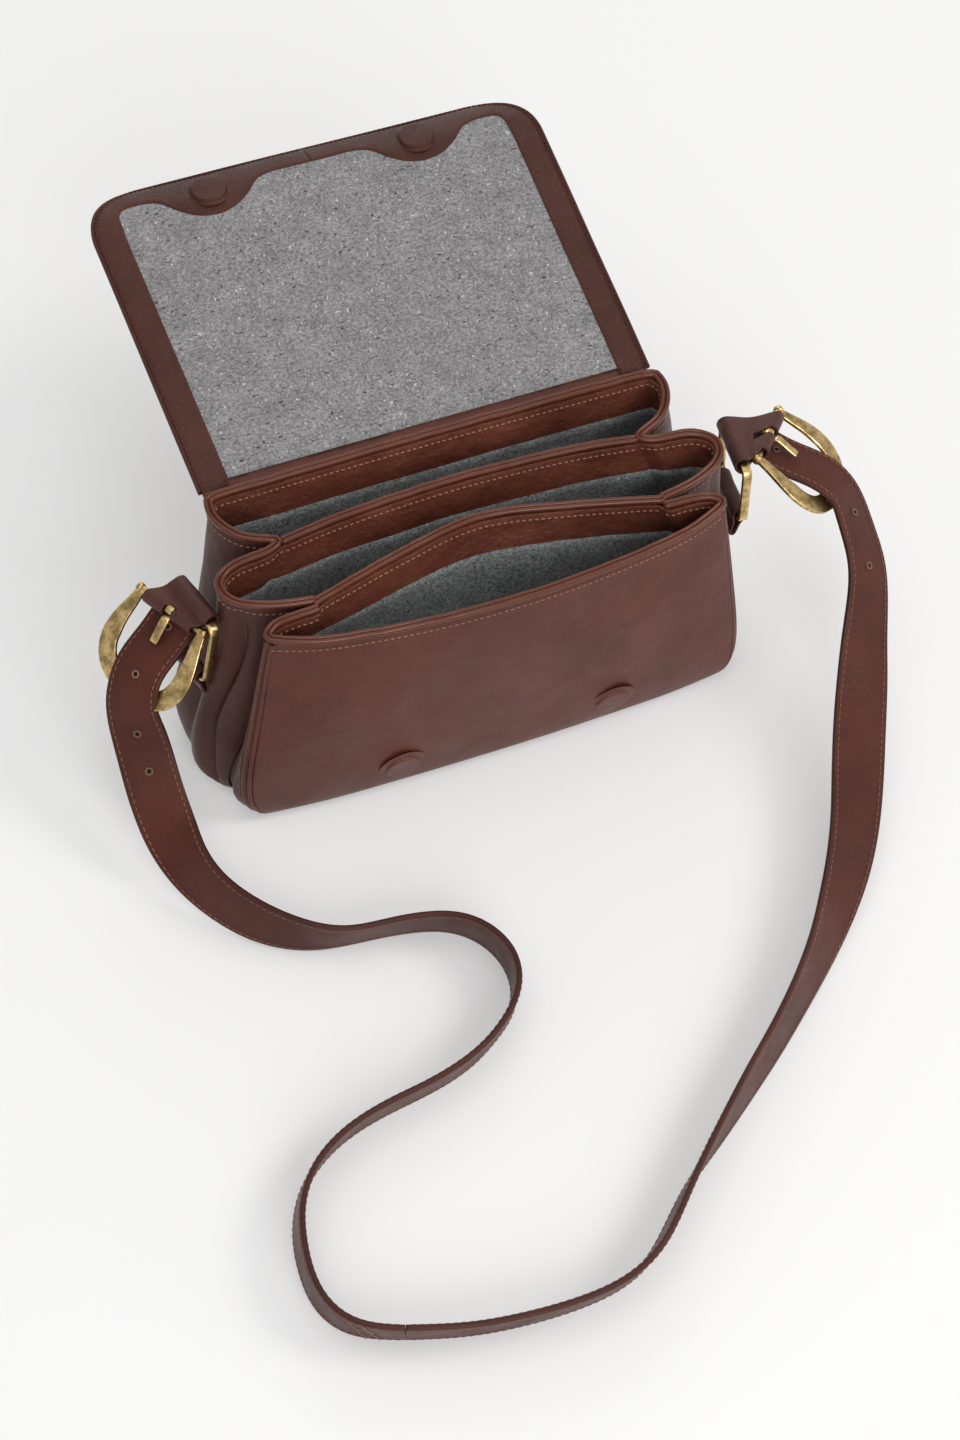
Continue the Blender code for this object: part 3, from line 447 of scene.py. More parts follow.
WOOL = wool("wool_lining", (0.125, 0.122, 0.124), (0.3, 0.295, 0.297),
            (0.025, 0.025, 0.029), (0.56, 0.55, 0.55))
INNER_WOOL = wool("wool_inside", (0.066, 0.077, 0.077), (0.235, 0.252, 0.248),
                  (0.012, 0.015, 0.016), (0.36, 0.38, 0.37))
BRASS = aged_brass("antique_brass", (0.9, 0.645, 0.3), (0.31, 0.22, 0.085))
THREAD = leather("thread", (0.25, 0.12, 0.08), (0.17, 0.08, 0.052), (0.6, 0.8), 0.4, 0.0)
PALE_THREAD = leather("pale_thread", (0.34, 0.19, 0.13), (0.22, 0.12, 0.08), (0.6, 0.8), 0.4, 0.0)
DARK_THREAD = leather("dark_thread", (0.115, 0.033, 0.021), (0.075, 0.022, 0.0145), (0.5, 0.7), 0.4, 0.0)
HOLE_RIM = leather("raw_leather", (0.2, 0.12, 0.08), (0.14, 0.08, 0.05), (0.6, 0.8), 0.5)
# Near-black painted shadow that fills the strap's holes in place of an opening
HOLE_SHADOW = leather("hole_shadow", (0.012, 0.008, 0.006), (0.008, 0.005, 0.004), (0.8, 0.9), 0.2)


# Mesh tools -----------------------------------------------

def build(name, verts, faces, material):
    """A smooth-shaded mesh object in the scene."""
    mesh = bpy.data.meshes.new(name)
    mesh.from_pydata([tuple(c * MM for c in p) for p in verts], [], faces)
    mesh.polygons.foreach_set("use_smooth", [True] * len(faces))
    mesh.materials.append(material)
    obj = bpy.data.objects.new(name, mesh)
    bpy.context.scene.collection.objects.link(obj)
    return obj


def settle(obj, body, nodes=()):
    """Says what a finished piece moves with, and hides the solids that it stands for."""
    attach(obj, body)
    if nodes:
        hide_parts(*nodes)


def thickened(obj, thickness, softness=0.0, sharp=60):
    """Gives a sheet its thickness, and bevels its edges sharper than an angle by softness."""
    solid = obj.modifiers.new("thickness", "SOLIDIFY")
    solid.thickness = thickness * MM
    solid.offset = 0.0
    if softness:
        soft = obj.modifiers.new("edge", "BEVEL")
        soft.width = softness * MM
        soft.segments = 2
        soft.limit_method = "ANGLE"
        soft.angle_limit = radians(sharp)
    bpy.context.view_layer.update()
    graph = bpy.context.evaluated_depsgraph_get()
    mesh = bpy.data.meshes.new_from_object(obj.evaluated_get(graph))
    obj.modifiers.clear()
    obj.data = mesh
    return obj


def grid_faces(rows, across, around=False, looped=False):
    """Faces over points listed row by row; around joins each row's ends, looped the last row to the first."""
    faces = []
    for i in range(rows if looped else rows - 1):
        n = (i + 1) % rows
        for j in range(across if around else across - 1):
            k = (j + 1) % across
            faces.append((i * across + j, i * across + k, n * across + k, n * across + j))
    return faces


def tube_faces(rows, sides):
    """Faces of a tube of point rings, with its two ends closed."""
    ends = [tuple(reversed(range(sides))), tuple(range((rows - 1) * sides, rows * sides))]
    return grid_faces(rows, sides, around=True) + ends


def skin(name, rows, thickness, material, closed=False):
    """A sheet over a grid of points, with thickness and softened edges."""
    faces = grid_faces(len(rows), len(rows[0]), closed)
    obj = build(name, [p for row in rows for p in row], faces, material)
    return thickened(obj, thickness, 0.35 * thickness)


def heading(line, i):
    """The way that an open line runs at one of its points."""
    return (line[min(i + 1, len(line) - 1)] - line[max(i - 1, 0)]).normalized()


def squared(wide, way):
    """A direction turned square to the way that a line runs."""
    return (wide - way * wide.dot(way)).normalized()


def sweep(name, path, across, profile, material, closed=False, widths=None, lifts=None):
    """A closed profile carried along a path; across is the way that the profile's x points."""
    count = len(path)
    sides = len(profile)
    verts = []
    for i, p in enumerate(path):
        way = (path[(i + 1) % count] - path[i - 1]).normalized() if closed else heading(path, i)
        side = squared(across[i], way)
        up = way.cross(side)
        wide = widths[i] if widths else 1.0
        tall = lifts[i] if lifts else 1.0
        verts += [p + side * x * wide + up * y * tall for x, y in profile]
    faces = grid_faces(count, sides, around=True, looped=True) if closed else tube_faces(count, sides)
    return build(name, verts, faces, material)


def rounded_box(width, height, radius, steps):
    """The outline of a rectangle with round corners, anticlockwise."""
    line = []
    for quarter, (cx, cy) in enumerate(((1, 1), (-1, 1), (-1, -1), (1, -1))):
        for i in range(steps + 1):
            angle = pi / 2 * (quarter + i / steps)
            line.append((cx * (width / 2 - radius) + radius * cos(angle),
                         cy * (height / 2 - radius) + radius * sin(angle)))
    return line


def clamped(part):
    """A part of the way, kept between 0 and 1."""
    return min(1.0, max(0.0, part))


def eased(part):
    """How far a quarter circle has left its tangent at a part of its radius."""
    return 1 - sqrt(1 - part * part)


def circle(radius, steps):
    return [(radius * cos(2 * pi * i / steps), radius * sin(2 * pi * i / steps))
            for i in range(steps)]


def catmull(a, b, c, d, t):
    """The point at part t of the smooth curve from b to c, between neighbours a and d."""
    bend = (2 * a - 5 * b + 4 * c - d) * t * t
    return 0.5 * (2 * b + (c - a) * t + bend + (3 * b - a - 3 * c + d) * t ** 3)


def refine(line, steps, closed=False):
    """The same smooth line with more points: each stretch is split into equal steps."""
    count = len(line)
    found = []
    for i in range(count if closed else count - 1):
        if closed:
            a, b, c, d = (line[(i + k) % count] for k in (-1, 0, 1, 2))
        else:
            a, b, c, d = (line[min(max(i + k, 0), count - 1)] for k in (-1, 0, 1, 2))
        found += [catmull(a, b, c, d, k / steps) for k in range(steps)]
    if not closed:
        found.append(line[-1].copy())
    return found


def lengths(line):
    """How far along the line each of its points is."""
    run = [0.0]
    for a, b in zip(line, line[1:]):
        run.append(run[-1] + (b - a).length)
    return run


def even(line, count, others=()):
    """Points at even steps along a line, and the other lists' values at the same places."""
    run = lengths(line)
    found = []
    extra = [[] for _ in others]
    k = 0
    for i in range(count):
        goal = run[-1] * i / (count - 1)
        while k < len(run) - 2 and run[k + 1] < goal:
            k += 1
        part = min((goal - run[k]) / max(run[k + 1] - run[k], 1e-9), 1.0)
        found.append(line[k].lerp(line[k + 1], part))
        for values, other in zip(extra, others):
            values.append(other[k].lerp(other[k + 1], part).normalized())
    return (found, *extra) if others else found


def smooth(points, count):
    """A smooth line through the points, as a number of even steps."""
    return even(refine([Vector(p) for p in points], 16), count)


def mirrored(line):
    """A plan line on the other side of the bag."""
    return [Vector((-p.x, p.y)) for p in line]


def stitches(name, lines, material, pitch=4.4, length=3.1, radius=0.42):
    """Sewn thread: a short rounded stroke every pitch along each line of (point, normal) pairs."""
    verts = []
    faces = []
    sides = 6
    shape = ((-0.5, 0.35), (-0.36, 0.95), (0.0, 1.1), (0.36, 0.95), (0.5, 0.35))
    stroke = tube_faces(len(shape), sides)
    for line in lines:
        points, normals = zip(*line)
        total = lengths(points)[-1]
        count = max(2, int(total / pitch) + 1)
        spots, ups = even(points, count, (normals,))
        for i, p in enumerate(spots[:-1]):
            way = (spots[i + 1] - p).normalized()
            up = squared(ups[i], way)
            side = way.cross(up)
            way = (way + side * random.uniform(-0.06, 0.06)).normalized()
            first = len(verts)
            for along, girth in shape:
                for k in range(sides):
                    angle = 2 * pi * k / sides
                    verts.append(p + way * along * length
                                 + (side * cos(angle) + up * sin(angle)) * radius * girth)
            faces += [tuple(first + k for k in face) for face in stroke]
    return build(name, verts, faces, material)


# Bag walls ------------------------------------------------

def rim_z(top):
    """The height of the rim above a plan point: it falls towards the front."""
    return RIM_HEIGHT + RIM_SLOPE * top.y


def wall_point(top, foot, height):
    """The point of a wall at a height above the floor, or down from its rim if negative."""
    high = rim_z(top) - LEVEL_DROP
    z = height if height > 0 else rim_z(top) + height
    level = (z - WALL_FOOT) / (high - WALL_FOOT)
    flat = foot.lerp(top, level)
    side = copysign(1.0, flat.x)
    reach = min(1.0, abs(flat.x) / HALF_WIDTH)
    depth = (flat.y - MID_DEPTH) / HALF_DEPTH
    if side < 0:
        x = flat.x - LEFT_SWELL * level * (1 - level) ** 4 * reach ** 4
    else:
        x = flat.x + (RIGHT_SWELL * level * (1 - level) ** 3 - RIGHT_TUCK) * (1 - level) * reach ** 4
    y = flat.y
    if depth < 0:
        y -= FRONT_SWELL * 4 * level * (1 - level) * depth * depth
    below = max(0.0, 1 - z / FOOT_RADIUS)
    turn = FOOT_TURN * eased(below)
    x -= side * turn * reach ** 6
    front_edge = clamped((-EDGE_FROM - flat.y) / 20) * reach ** 4
    rounding = max(0.0, 1 - z / CORNER_RADIUS)
    x += side * EDGE_SWELL[side] * 4 * level * (1 - level) * front_edge
    x -= side * CORNER_TURN * eased(rounding) * front_edge
    y += UNDER_TURN * eased(rounding) * clamped(-depth * 2 - 0.6)
    y -= copysign(1.0, depth) * turn * min(1.0, depth * depth)
    return Vector((x, y, z))


def inset(line, by):
    """A closed line moved inwards; it runs anticlockwise."""
    count = len(line)
    found = []
    for i, p in enumerate(line):
        before = (p - line[i - 1]).normalized()
        after = (line[(i + 1) % count] - p).normalized()
        inward = Vector((-before.y - after.y, before.x + after.x)).normalized()
        mitre = max(inward.dot(Vector((-before.y, before.x))), MITRE_LIMIT)
        found.append(p + inward * by / mitre)
    return found


back = (smooth(BACK_TOP, 9), smooth(BACK_FOOT, 9))
rear_lobe = (smooth(REAR_LOBE_TOP, 9), smooth(REAR_LOBE_FOOT, 9))
middle_lobe = (smooth(MIDDLE_LOBE_TOP, 12), smooth(MIDDLE_LOBE_FOOT, 12))
rear_divider = (smooth(REAR_DIVIDER_TOP, 11), smooth(REAR_DIVIDER_FOOT, 11))
front_divider = (smooth(FRONT_DIVIDER_TOP, 11), smooth(FRONT_DIVIDER_FOOT, 11))
pouch_side = (smooth(POUCH_SIDE_TOP, 6), smooth(POUCH_SIDE_FOOT, 6))
front = (smooth(FRONT_TOP, 15), smooth(FRONT_FOOT, 15))
gusset = tuple(rear_lobe[i] + middle_lobe[i][1:] for i in (0, 1))


def wave(p, scale, seed):
    """Smooth noise at a place."""
    return noise.noise(Vector((p.x * scale, p.y * scale, p.z * scale + seed)))


def crease(p):
    """How far the side leather folds inwards at the line where the front divider is caught."""
    line = CREASE_Y + CREASE_BOW * exp(-((p.z - CREASE_BOW_Z) / CREASE_BOW_TALL) ** 2)
    fade = clamped((p.z - 3) / 9) * (0.35 + 0.65 * clamped((138 - p.z) / 30))
    reach = clamped((abs(p.x) - CREASE_FROM) / 12)
    return CREASE_DEEP * fade * reach * exp(-abs((p.y - line) / CREASE_WIDE) ** 1.5)


def crumple(p):
    """How far the leather stands off its plain shape: long folds, and puckers by the rings."""
    out = 1.1 * wave(p, 0.022, 3.0) + 0.45 * wave(p, 0.06, 9.0)
    if abs(p.x) > PUCKER_FROM:
        side = SIDES["left" if p.x < 0 else "right"]
        seat = Vector(side["ring"]) + Vector(side["ring_foot"]) * 0.4
        near = exp(-((p - seat) / PUCKER_REACH).length_squared)
        out += near * 1.5 * noise.noise(Vector((p.x * 0.05, p.y * 0.07, p.z * 0.28)))
    fade = clamped((p.z - 3) / 20) * clamped((rim_z(p) - p.z) / 22)
    return out * fade


def folded(p):
    """A wall point moved inwards by the crease."""
    return Vector((p.x - copysign(crease(p), p.x), p.y, p.z))


def outward(rows, i, j):
    """A sheet's direction at one of its points, away from the bag's middle."""
    a = rows[min(i + 1, len(rows) - 1)][j] - rows[max(i - 1, 0)][j]
    b = rows[i][min(j + 1, len(rows[0]) - 1)] - rows[i][max(j - 1, 0)]
    way = a.cross(b).normalized()
    centre = Vector((0, MID_DEPTH, rows[i][j].z))
    return way if way.dot(rows[i][j] - centre) > 0 else -way


def wall_rows(pair, steps, heights=WALL_HEIGHTS, worn=True):
    """Rows of points over a wall, from its (top, foot) outlines, crumpled and creased if it is worn."""
    tops = refine(pair[0], steps)
    feet = refine(pair[1], steps)
    rows = [[wall_point(t, f, height) for t, f in zip(tops, feet)] for height in heights]
    if not worn:
        return rows
    rows = [[p + outward(rows, i, j) * crumple(p) for j, p in enumerate(row)] for i, row in enumerate(rows)]
    return [[folded(p) for p in row] for row in rows]


def flipped(pair):
    return tuple(mirrored(line) for line in pair)


WALLS = [
    ("back_panel", back, 6, SKIN),
    ("front_panel", front, 5, SKIN),
    ("gusset_left", gusset, 6, GUSSET_SKIN),
    ("gusset_right", flipped(gusset), 6, GUSSET_SKIN),
    ("pouch_side_left", pouch_side, 4, GUSSET_SKIN),
    ("pouch_side_right", flipped(pouch_side), 4, GUSSET_SKIN),
    ("rear_divider", rear_divider, 5, FACING_SKIN),
    ("front_divider", front_divider, 5, FACING_SKIN),
]
for name, pair, steps, material in WALLS:
    inside = "divider" in name
    rows = wall_rows(pair, steps, WALL_HEIGHTS[2:] if inside else WALL_HEIGHTS, not inside)
    settle(skin("skin_" + name, rows, WALL, material), "bag", (name,))


def compartment(i, spot):
    """The closed outline of a compartment: i is 0 at the rim and 1 at the foot."""
    if spot == "rear":
        return back[i][::-1] + rear_lobe[i] + rear_divider[i] + mirrored(rear_lobe[i])[::-1]
    if spot == "middle":
        return rear_divider[i][::-1] + middle_lobe[i] + front_divider[i] + mirrored(middle_lobe[i])[::-1]
    return front_divider[i][::-1] + pouch_side[i] + front[i] + mirrored(pouch_side[i])[::-1]


def closed_rows(tops, feet, heights, slack=0.0):
    """Rows of points round a compartment; slack lets the cloth hang away from the walls."""
    rows = [[wall_point(t, f, height) for t, f in zip(tops, feet)] for height in heights]
    middle = sum((p for p in rows[0]), Vector((0, 0, 0))) / len(rows[0])
    for row in rows:
        for p in row:
            into = Vector((middle.x - p.x, middle.y - p.y, 0))
            into = Vector((0, into.y, 0)).normalized() if abs(into.y) > 1 else Vector((0, 0, 0))
            fade = clamped((p.z - 4) / 30) * clamped((rim_z(p) - 12 - p.z) / 18)
            p += into * slack * fade * (0.5 + wave(p, 0.035, 21.0))
    return [[folded(p) for p in row] for row in rows]


def cup(name, rows, thickness, material):
    """A cloth bag open at the top."""
    across = len(rows[0])
    faces = grid_faces(len(rows), across, around=True) + [tuple(reversed(range(across)))]
    return thickened(build(name, [p for row in rows for p in row], faces, material), thickness)


facing_stitches = []
lining_stitches = []
for spot in ("rear", "middle", "front"):
    tops = refine(inset(compartment(0, spot), INSET), 4, True)
    feet = refine(inset(compartment(1, spot), INSET), 4, True)
    lining = cup("cloth_lining_" + spot, closed_rows(tops, feet, LINING_HEIGHTS, SLACK), 0.8, INNER_WOOL)
    settle(lining, "bag", ("lining_" + spot,))
    inner_tops = refine(inset(compartment(0, spot), FACING_INSET), 4, True)
    inner_feet = refine(inset(compartment(1, spot), FACING_INSET), 4, True)
    facing = closed_rows(inner_tops, inner_feet, FACING_HEIGHTS, SLACK)
    settle(skin("band_facing_" + spot, facing, 1.3, FACING_SKIN, closed=True), "bag",
           ("facing_" + spot,))
    for height, store in ((FACING_SEAM, facing_stitches), (LINING_SEAM, lining_stitches)):
        line = closed_rows(inner_tops, inner_feet, (height,))[0]
        ways = []
        for j, p in enumerate(line):
            run = (line[(j + 1) % len(line)] - line[j - 1]).normalized()
            ways.append(Vector((-run.y, run.x, 0)))
        store.append([(p + way * 0.75, way) for p, way in zip(line, ways)])


# Rolled rims ----------------------------------------------

def double_roll():
    """Two small rolls side by side, as where two turned edges are sewn together."""
    line = []
    for centre, start in ((1.35, -174), (-1.35, 6)):
        for i in range(13):
            angle = radians(start + 29 * i)
            line.append((centre + 1.22 * cos(angle), 1.7 * sin(angle)))
    return line


def rim(name, coarse, *nodes):
    """The double roll along a run of wall tops."""
    line = [Vector((p.x, p.y, rim_z(p))) for p in refine(coarse, 5)]
    line = even(line, max(12, int(lengths(line)[-1] / 2.5)))
    across = []
    for i, p in enumerate(line):
        way = heading(line, i)
        across.append(Vector((way.y, -way.x, 0)).normalized())
        p.z += 0.5 * wave(p, 0.08, 5.0)
    obj = sweep(name, line, across, double_roll(), RIM_SKIN)
    settle(obj, "bag", nodes)


def reaching(line, start, end):
    """The line with its ends moved along it: outwards if positive."""
    first = line[0] + (line[0] - line[1]).normalized() * start
    last = line[-1] + (line[-1] - line[-2]).normalized() * end
    return [first] + line[1:-1] + [last]


def joined(first, second, third):
    """Three runs of wall top end to end, with the two corners between them cut round."""
    near = first[-1].lerp(second[0], 0.5)
    far = second[-1].lerp(third[0], 0.5)
    return first[:-1] + [near] + second[1:-1] + [far] + third[1:]


side_run = reaching(gusset[0], 0.0, 3.5)[::-1]
rim("roll_body", joined(side_run, back[0], mirrored(side_run)[::-1]), "rim_back", "rim_gusset_left",
    "rim_gusset_right")
side_run = reaching(pouch_side[0], 3.0, 0.0)
rim("roll_pouch", joined(side_run, front[0], mirrored(side_run)[::-1]), "rim_front", "rim_pouch_left",
    "rim_pouch_right")
rim("roll_rear_divider", reaching(rear_divider[0], 4.0, 4.0), "rim_rear_divider")
rim("roll_front_divider", reaching(front_divider[0], 4.5, 4.5), "rim_front_divider")

outside_stitches = []
for pair, steps in ((front, 5), (gusset, 4), (flipped(gusset), 4), (pouch_side, 4),
                    (flipped(pouch_side), 4), (back, 6)):
    rows = wall_rows(pair, steps, (-8.2, -6.2, -4.2))
    ways = [outward(rows, 1, j) for j in range(len(rows[0]))]
    outside_stitches.append([(p + way * (WALL / 2 + 0.1), way) for p, way in zip(rows[1], ways)])
settle(stitches("stitching_rims", outside_stitches, PALE_THREAD, 3.4, 2.2, 0.38), "bag")
settle(stitches("stitching_facings", facing_stitches, PALE_THREAD, 3.4, 2.2, 0.38), "bag")
settle(stitches("stitching_linings", lining_stitches, PALE_THREAD, 4.4, 2.6, 0.34), "bag")


# Seams down the bag's corners -----------------------------

def corner_seam(name, near, far, profile, material, deep=0.0):
    """A turned seam down the corner between two walls, each given as its (top, foot) points there."""
    line = []
    across = []
    top = rim_z(near[0]) - 3.5
    steps = 40
    for i in range(steps + 1):
        height = WALL_FOOT + (top - WALL_FOOT) * i / steps
        a = folded(wall_point(near[0], near[1], height))
        b = folded(wall_point(far[0], far[1], height))
        spot = a.lerp(b, 0.5)
        spot.x -= copysign(deep, spot.x)
        line.append(spot)
        across.append((a - b).normalized())
    settle(sweep(name, line, across, profile, material), "bag")


def corner(pair, end, sign):
    """The (top, foot) points at one end of a wall, on the left side if sign is 1."""
    return [Vector((line[end].x * sign, line[end].y)) for line in pair]


piping = [(x * 1.3, y * 0.8) for x, y in double_roll()]
for side, turn in (("left", 1), ("right", -1)):
    corner_seam("seam_front_" + side, corner(front, 0, turn), corner(pouch_side, -1, turn), piping, SKIN)
    corner_seam("seam_back_" + side, corner(back, 0, turn), corner(gusset, 0, turn),
                rounded_box(4.6, 2.8, 1.1, 3), SKIN)
    corner_seam("seam_pouch_" + side, corner(pouch_side, 0, turn), corner(gusset, -1, turn),
                rounded_box(6.0, 2.0, 0.8, 3), GUSSET_SKIN, 0.7)


# Covered magnets ------------------------------------------

def covered_disc(name, centre, axis, radius, height, material, skirt=2.2):
    """A round magnet under leather: a flat top with a soft edge, and a skirt onto the leather."""
    profile = [(0.0, 1.0), (0.4, 1.0), (0.8, 0.99), (0.9, 0.96), (0.96, 0.88), (0.995, 0.7), (1.01, 0.46),
               (1.03, 0.26), (1.04 + skirt / radius * 0.3, 0.13), (1.0 + skirt / radius * 0.7, 0.03),
               (1.0 + skirt / radius, -0.16)]
    around = 40
    axis = Vector(axis).normalized()
    side = squared(Vector((1, 0, 0)), axis)
    up = axis.cross(side)
    verts = [centre + axis * height]
    faces = []
    for r, h in profile[1:]:
        for k in range(around):
            angle = 2 * pi * k / around
            spot = side * cos(angle) + up * sin(angle)
            verts.append(centre + spot * r * radius + axis * height * (h + 0.025 * sin(3 * angle + 1)))
    for k in range(around):
        faces.append((0, 1 + k, 1 + (k + 1) % around))
    for ring in range(len(profile) - 2):
        base = 1 + ring * around
        for k in range(around):
            n = (k + 1) % around
            faces.append((base + k, base + around + k, base + around + n, base + n))
    return build(name, verts, faces, material)


near = min(range(len(front[0])), key=lambda i: abs(front[1][i].x + LOBE_OUT))
on_front = wall_point(front[0][near], front[1][near], FRONT_MAGNET_Z)
for side, sign in (("left", -1), ("right", 1)):
    spot = Vector((sign * LOBE_OUT, on_front.y - 0.7, FRONT_MAGNET_Z))
    obj = covered_disc("cover_front_magnet_" + side, spot, (0, -1, -0.26), MAGNET_RADIUS, 1.7, SKIN, 4.0)
    settle(obj, "bag", ("front_magnet_" + side,))


# Flap -----------------------------------------------------

def flap_half(v):
    """Half the flap's width at v from the hinge, with the far corners round."""
    half = FLAP_HALF_HINGE + (FLAP_HALF_FAR - FLAP_HALF_HINGE) * v / FLAP_LENGTH
    into = v - (FLAP_LENGTH - FLAP_CORNER)
    if into > 0:
        half -= FLAP_CORNER - sqrt(max(FLAP_CORNER ** 2 - into ** 2, 0.0))
    return half


def flap_at(x, v, lift):
    """A place on the flap: v is the way along it from the hinge, lift is towards the lining."""
    over = max(0.0, v - FLAP_FLAT)
    bend = FLAP_CURL * over / (FLAP_LENGTH - FLAP_FLAT)
    radius = (FLAP_LENGTH - FLAP_FLAT) / FLAP_CURL
    lift += 0.8 * noise.noise(Vector((x * 0.012, v * 0.016, 2.0))) * min(1.0, v / 30)
    y = min(v, FLAP_FLAT) + (radius + lift) * sin(bend)
    z = FLAP_DROP + lift - (radius + lift) * (1 - cos(bend))
    return Vector((x, HINGE_Y + y * cos(FLAP_OPEN) - z * sin(FLAP_OPEN),
                   HINGE_Z + y * sin(FLAP_OPEN) + z * cos(FLAP_OPEN)))


def flap_normal(v):
    """The way that the flap's lining faces at v."""
    over = max(0.0, v - FLAP_FLAT)
    angle = FLAP_OPEN - FLAP_CURL * over / (FLAP_LENGTH - FLAP_FLAT)
    return Vector((0, -sin(angle), cos(angle)))


def bend_flap(obj, nodes=()):
    """Bakes a finished flap piece's placement into its mesh, and hides the solids that it stands for."""
    start = flap_at(0, FLAP_FOLD - BEND_REACH, 0) * MM
    end = flap_at(0, FLAP_FOLD + BEND_REACH, 0) * MM
    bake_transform(obj)
    if nodes:
        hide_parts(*nodes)


STEPS = [FLAP_START + (FLAP_LENGTH - FLAP_CORNER - FLAP_START) * i / 40 for i in range(40)]
STEPS += [FLAP_LENGTH - FLAP_CORNER * cos(pi / 2 * i / 22) for i in range(22)] + [FLAP_EDGE]


def flap_grid(lift, margin, steps, across=44):
    """Rows of points over the flap, a margin inside its sides."""
    rows = []
    for v in steps:
        half = flap_half(v) - margin
        rows.append([flap_at(half * (2 * j / across - 1), v, lift) for j in range(across + 1)])
    return rows


bend_flap(skin("flap_outside", flap_grid(0.0, 0.0, STEPS), 1.6, FLAP_SKIN),
          ("flap_crown", "flap_front"))
lining_steps = [v for v in STEPS if 6 < v < FLAP_LENGTH - 8]
bend_flap(skin("flap_cloth", flap_grid(CLOTH_LIFT, 7.0, lining_steps), 0.9, WOOL),
          ("flap_lining_crown", "flap_lining_front"))


def border_edges():
    """The left half of the leather border: matched points on its inner and outer edges, in (x, v)."""
    far = FLAP_LENGTH - BORDER
    deep = FLAP_LENGTH - LOBE_DEEP
    pairs = []
    for i in range(34):
        v = FLAP_START + (far - 9 - FLAP_START) * i / 34
        pairs.append(((-flap_half(v) + BORDER, v), (-flap_half(v), v)))
    side = -flap_half(far - 40) + BORDER
    inner = [(side + x, far + v) for x, v in ((0, -9), (0.6, -5), (2.6, -1.6), (7, 0), (14, 0))]
    lobe = [(-38, far), (-29, far - 2.6), (-20, far - 11), (-10.5, deep + 2.2)]
    inner += [(-LOBE_OUT + x, v) for x, v in lobe] + [(-LOBE_OUT, deep)]
    inner += [(-LOBE_OUT - x, v) for x, v in lobe[::-1]] + [(-14, far), (-0.06, far)]
    inner = even(refine([Vector(p) for p in inner], 8), 110)
    arc = [Vector((-flap_half(far + v), far + v)) for v in (-9, -4, 2, 7, 11, 14, 15.8, 16.6, 16.9)]
    outer = even(arc + [Vector((x, FLAP_EDGE)) for x in (-60, -30, -0.06)], 110)
    last = next(i for i, p in enumerate(inner) if p.x > CORNER_END)
    round_corner = [q for q in outer if q.x < inner[last].x] + [Vector((inner[last].x, FLAP_EDGE))]
    goals = even(round_corner, last + 1)[:last] + [Vector((p.x, FLAP_EDGE)) for p in inner[last:]]
    return pairs + [(tuple(p), tuple(goal)) for p, goal in zip(inner, goals)]


edges = border_edges()
flap_stitches = []
for side, sign in (("left", 1), ("right", -1)):
    rows = []
    for (xi, vi), (xo, vo) in edges:
        row = []
        for k in range(9):
            t = k / 8
            lift = BORDER_LIFT + 0.25 * sin(pi * min(1.0, t * 1.6)) * (1 - t)
            lift -= 1.2 * max(0.0, 1 - (vi - FLAP_START) / 9) ** 2
            lift -= (max(0.0, t - 0.68) / 0.32) ** 2
            row.append(flap_at(sign * (xi + (xo - xi) * t), vi + (vo - vi) * t, lift))
        rows.append(row if sign > 0 else row[::-1])
    bend_flap(skin("flap_border_" + side, rows, 1.1, FLAP_SKIN),
              ("flap_border_crown_" + side, "flap_border_front_" + side))
    for part in (1.5, -1.6):
        line = []
        for inner, outer in edges:
            a = Vector(inner)
            b = Vector(outer)
            step = (b - a).normalized() * part
            spot = a + step if part > 0 else b + step
            line.append((flap_at(sign * spot.x, spot.y, THREAD_LIFT), flap_normal(spot.y)))
        flap_stitches.append(line)
bend_flap(stitches("stitching_flap", flap_stitches, DARK_THREAD, 2.9, 2.1, 0.34))

rim_line = [Vector((-flap_half(v), v)) for v in STEPS]
rim_line += [Vector((x, FLAP_EDGE)) for x in (-60, 0, 60)] + mirrored(rim_line[::-1])
rim_line = even(rim_line, 260)
bend_flap(sweep("flap_edge", [flap_at(p.x, p.y, EDGE_LIFT) for p in rim_line],
                [flap_normal(p.y) for p in rim_line], rounded_box(3.3, 2.2, 1.05, 3), FLAP_SKIN))

seat = FLAP_LENGTH - MAGNET_FROM_EDGE
for side, sign in (("left", -1), ("right", 1)):
    spot = flap_at(sign * LOBE_OUT, seat, MAGNET_LIFT)
    obj = covered_disc("cover_flap_magnet_" + side, spot, flap_normal(seat), MAGNET_RADIUS, 2.2,
                       FLAP_SKIN, 1.6)
    settle(obj, "flap_front_half", ("flap_magnet_" + side,))

hinge_rows = []
hinge_line = [(45.4, 128.0), (45.4, 134.0), (45.5, 140.0), (46.2, 144.0), (48.0, 146.4)]
hinge_line += [tuple(flap_at(0, v, 0.0))[1:] for v in (5.5, 9.0)]
for y, z in even([Vector(p) for p in hinge_line], 18):
    hinge_rows.append([])
    for j in range(41):
        waver = 0.3 * noise.noise(Vector((j * 0.6, z * 0.2, 0)))
        hinge_rows[-1].append(Vector((TURN_HALF * (j / 20 - 1), y + waver, z)))
strip = skin("flap_turn", hinge_rows, 1.7, SKIN)
tuple(flap_at(0, 8.0, 0.0) * MM)
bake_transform(strip)
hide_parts("flap_sewn_edge")


# Strap hardware -------------------------------------------

def frame_axes(side):
    """The buckle's axes: along the frame, along the bar, and out of the frame's plane."""
    bar = Vector(side["bar_line"]).normalized()
    along = squared(Vector(side["frame"]), bar)
    out = along.cross(bar)
    if out.z < 0:
        out = -out
    return along, bar, out


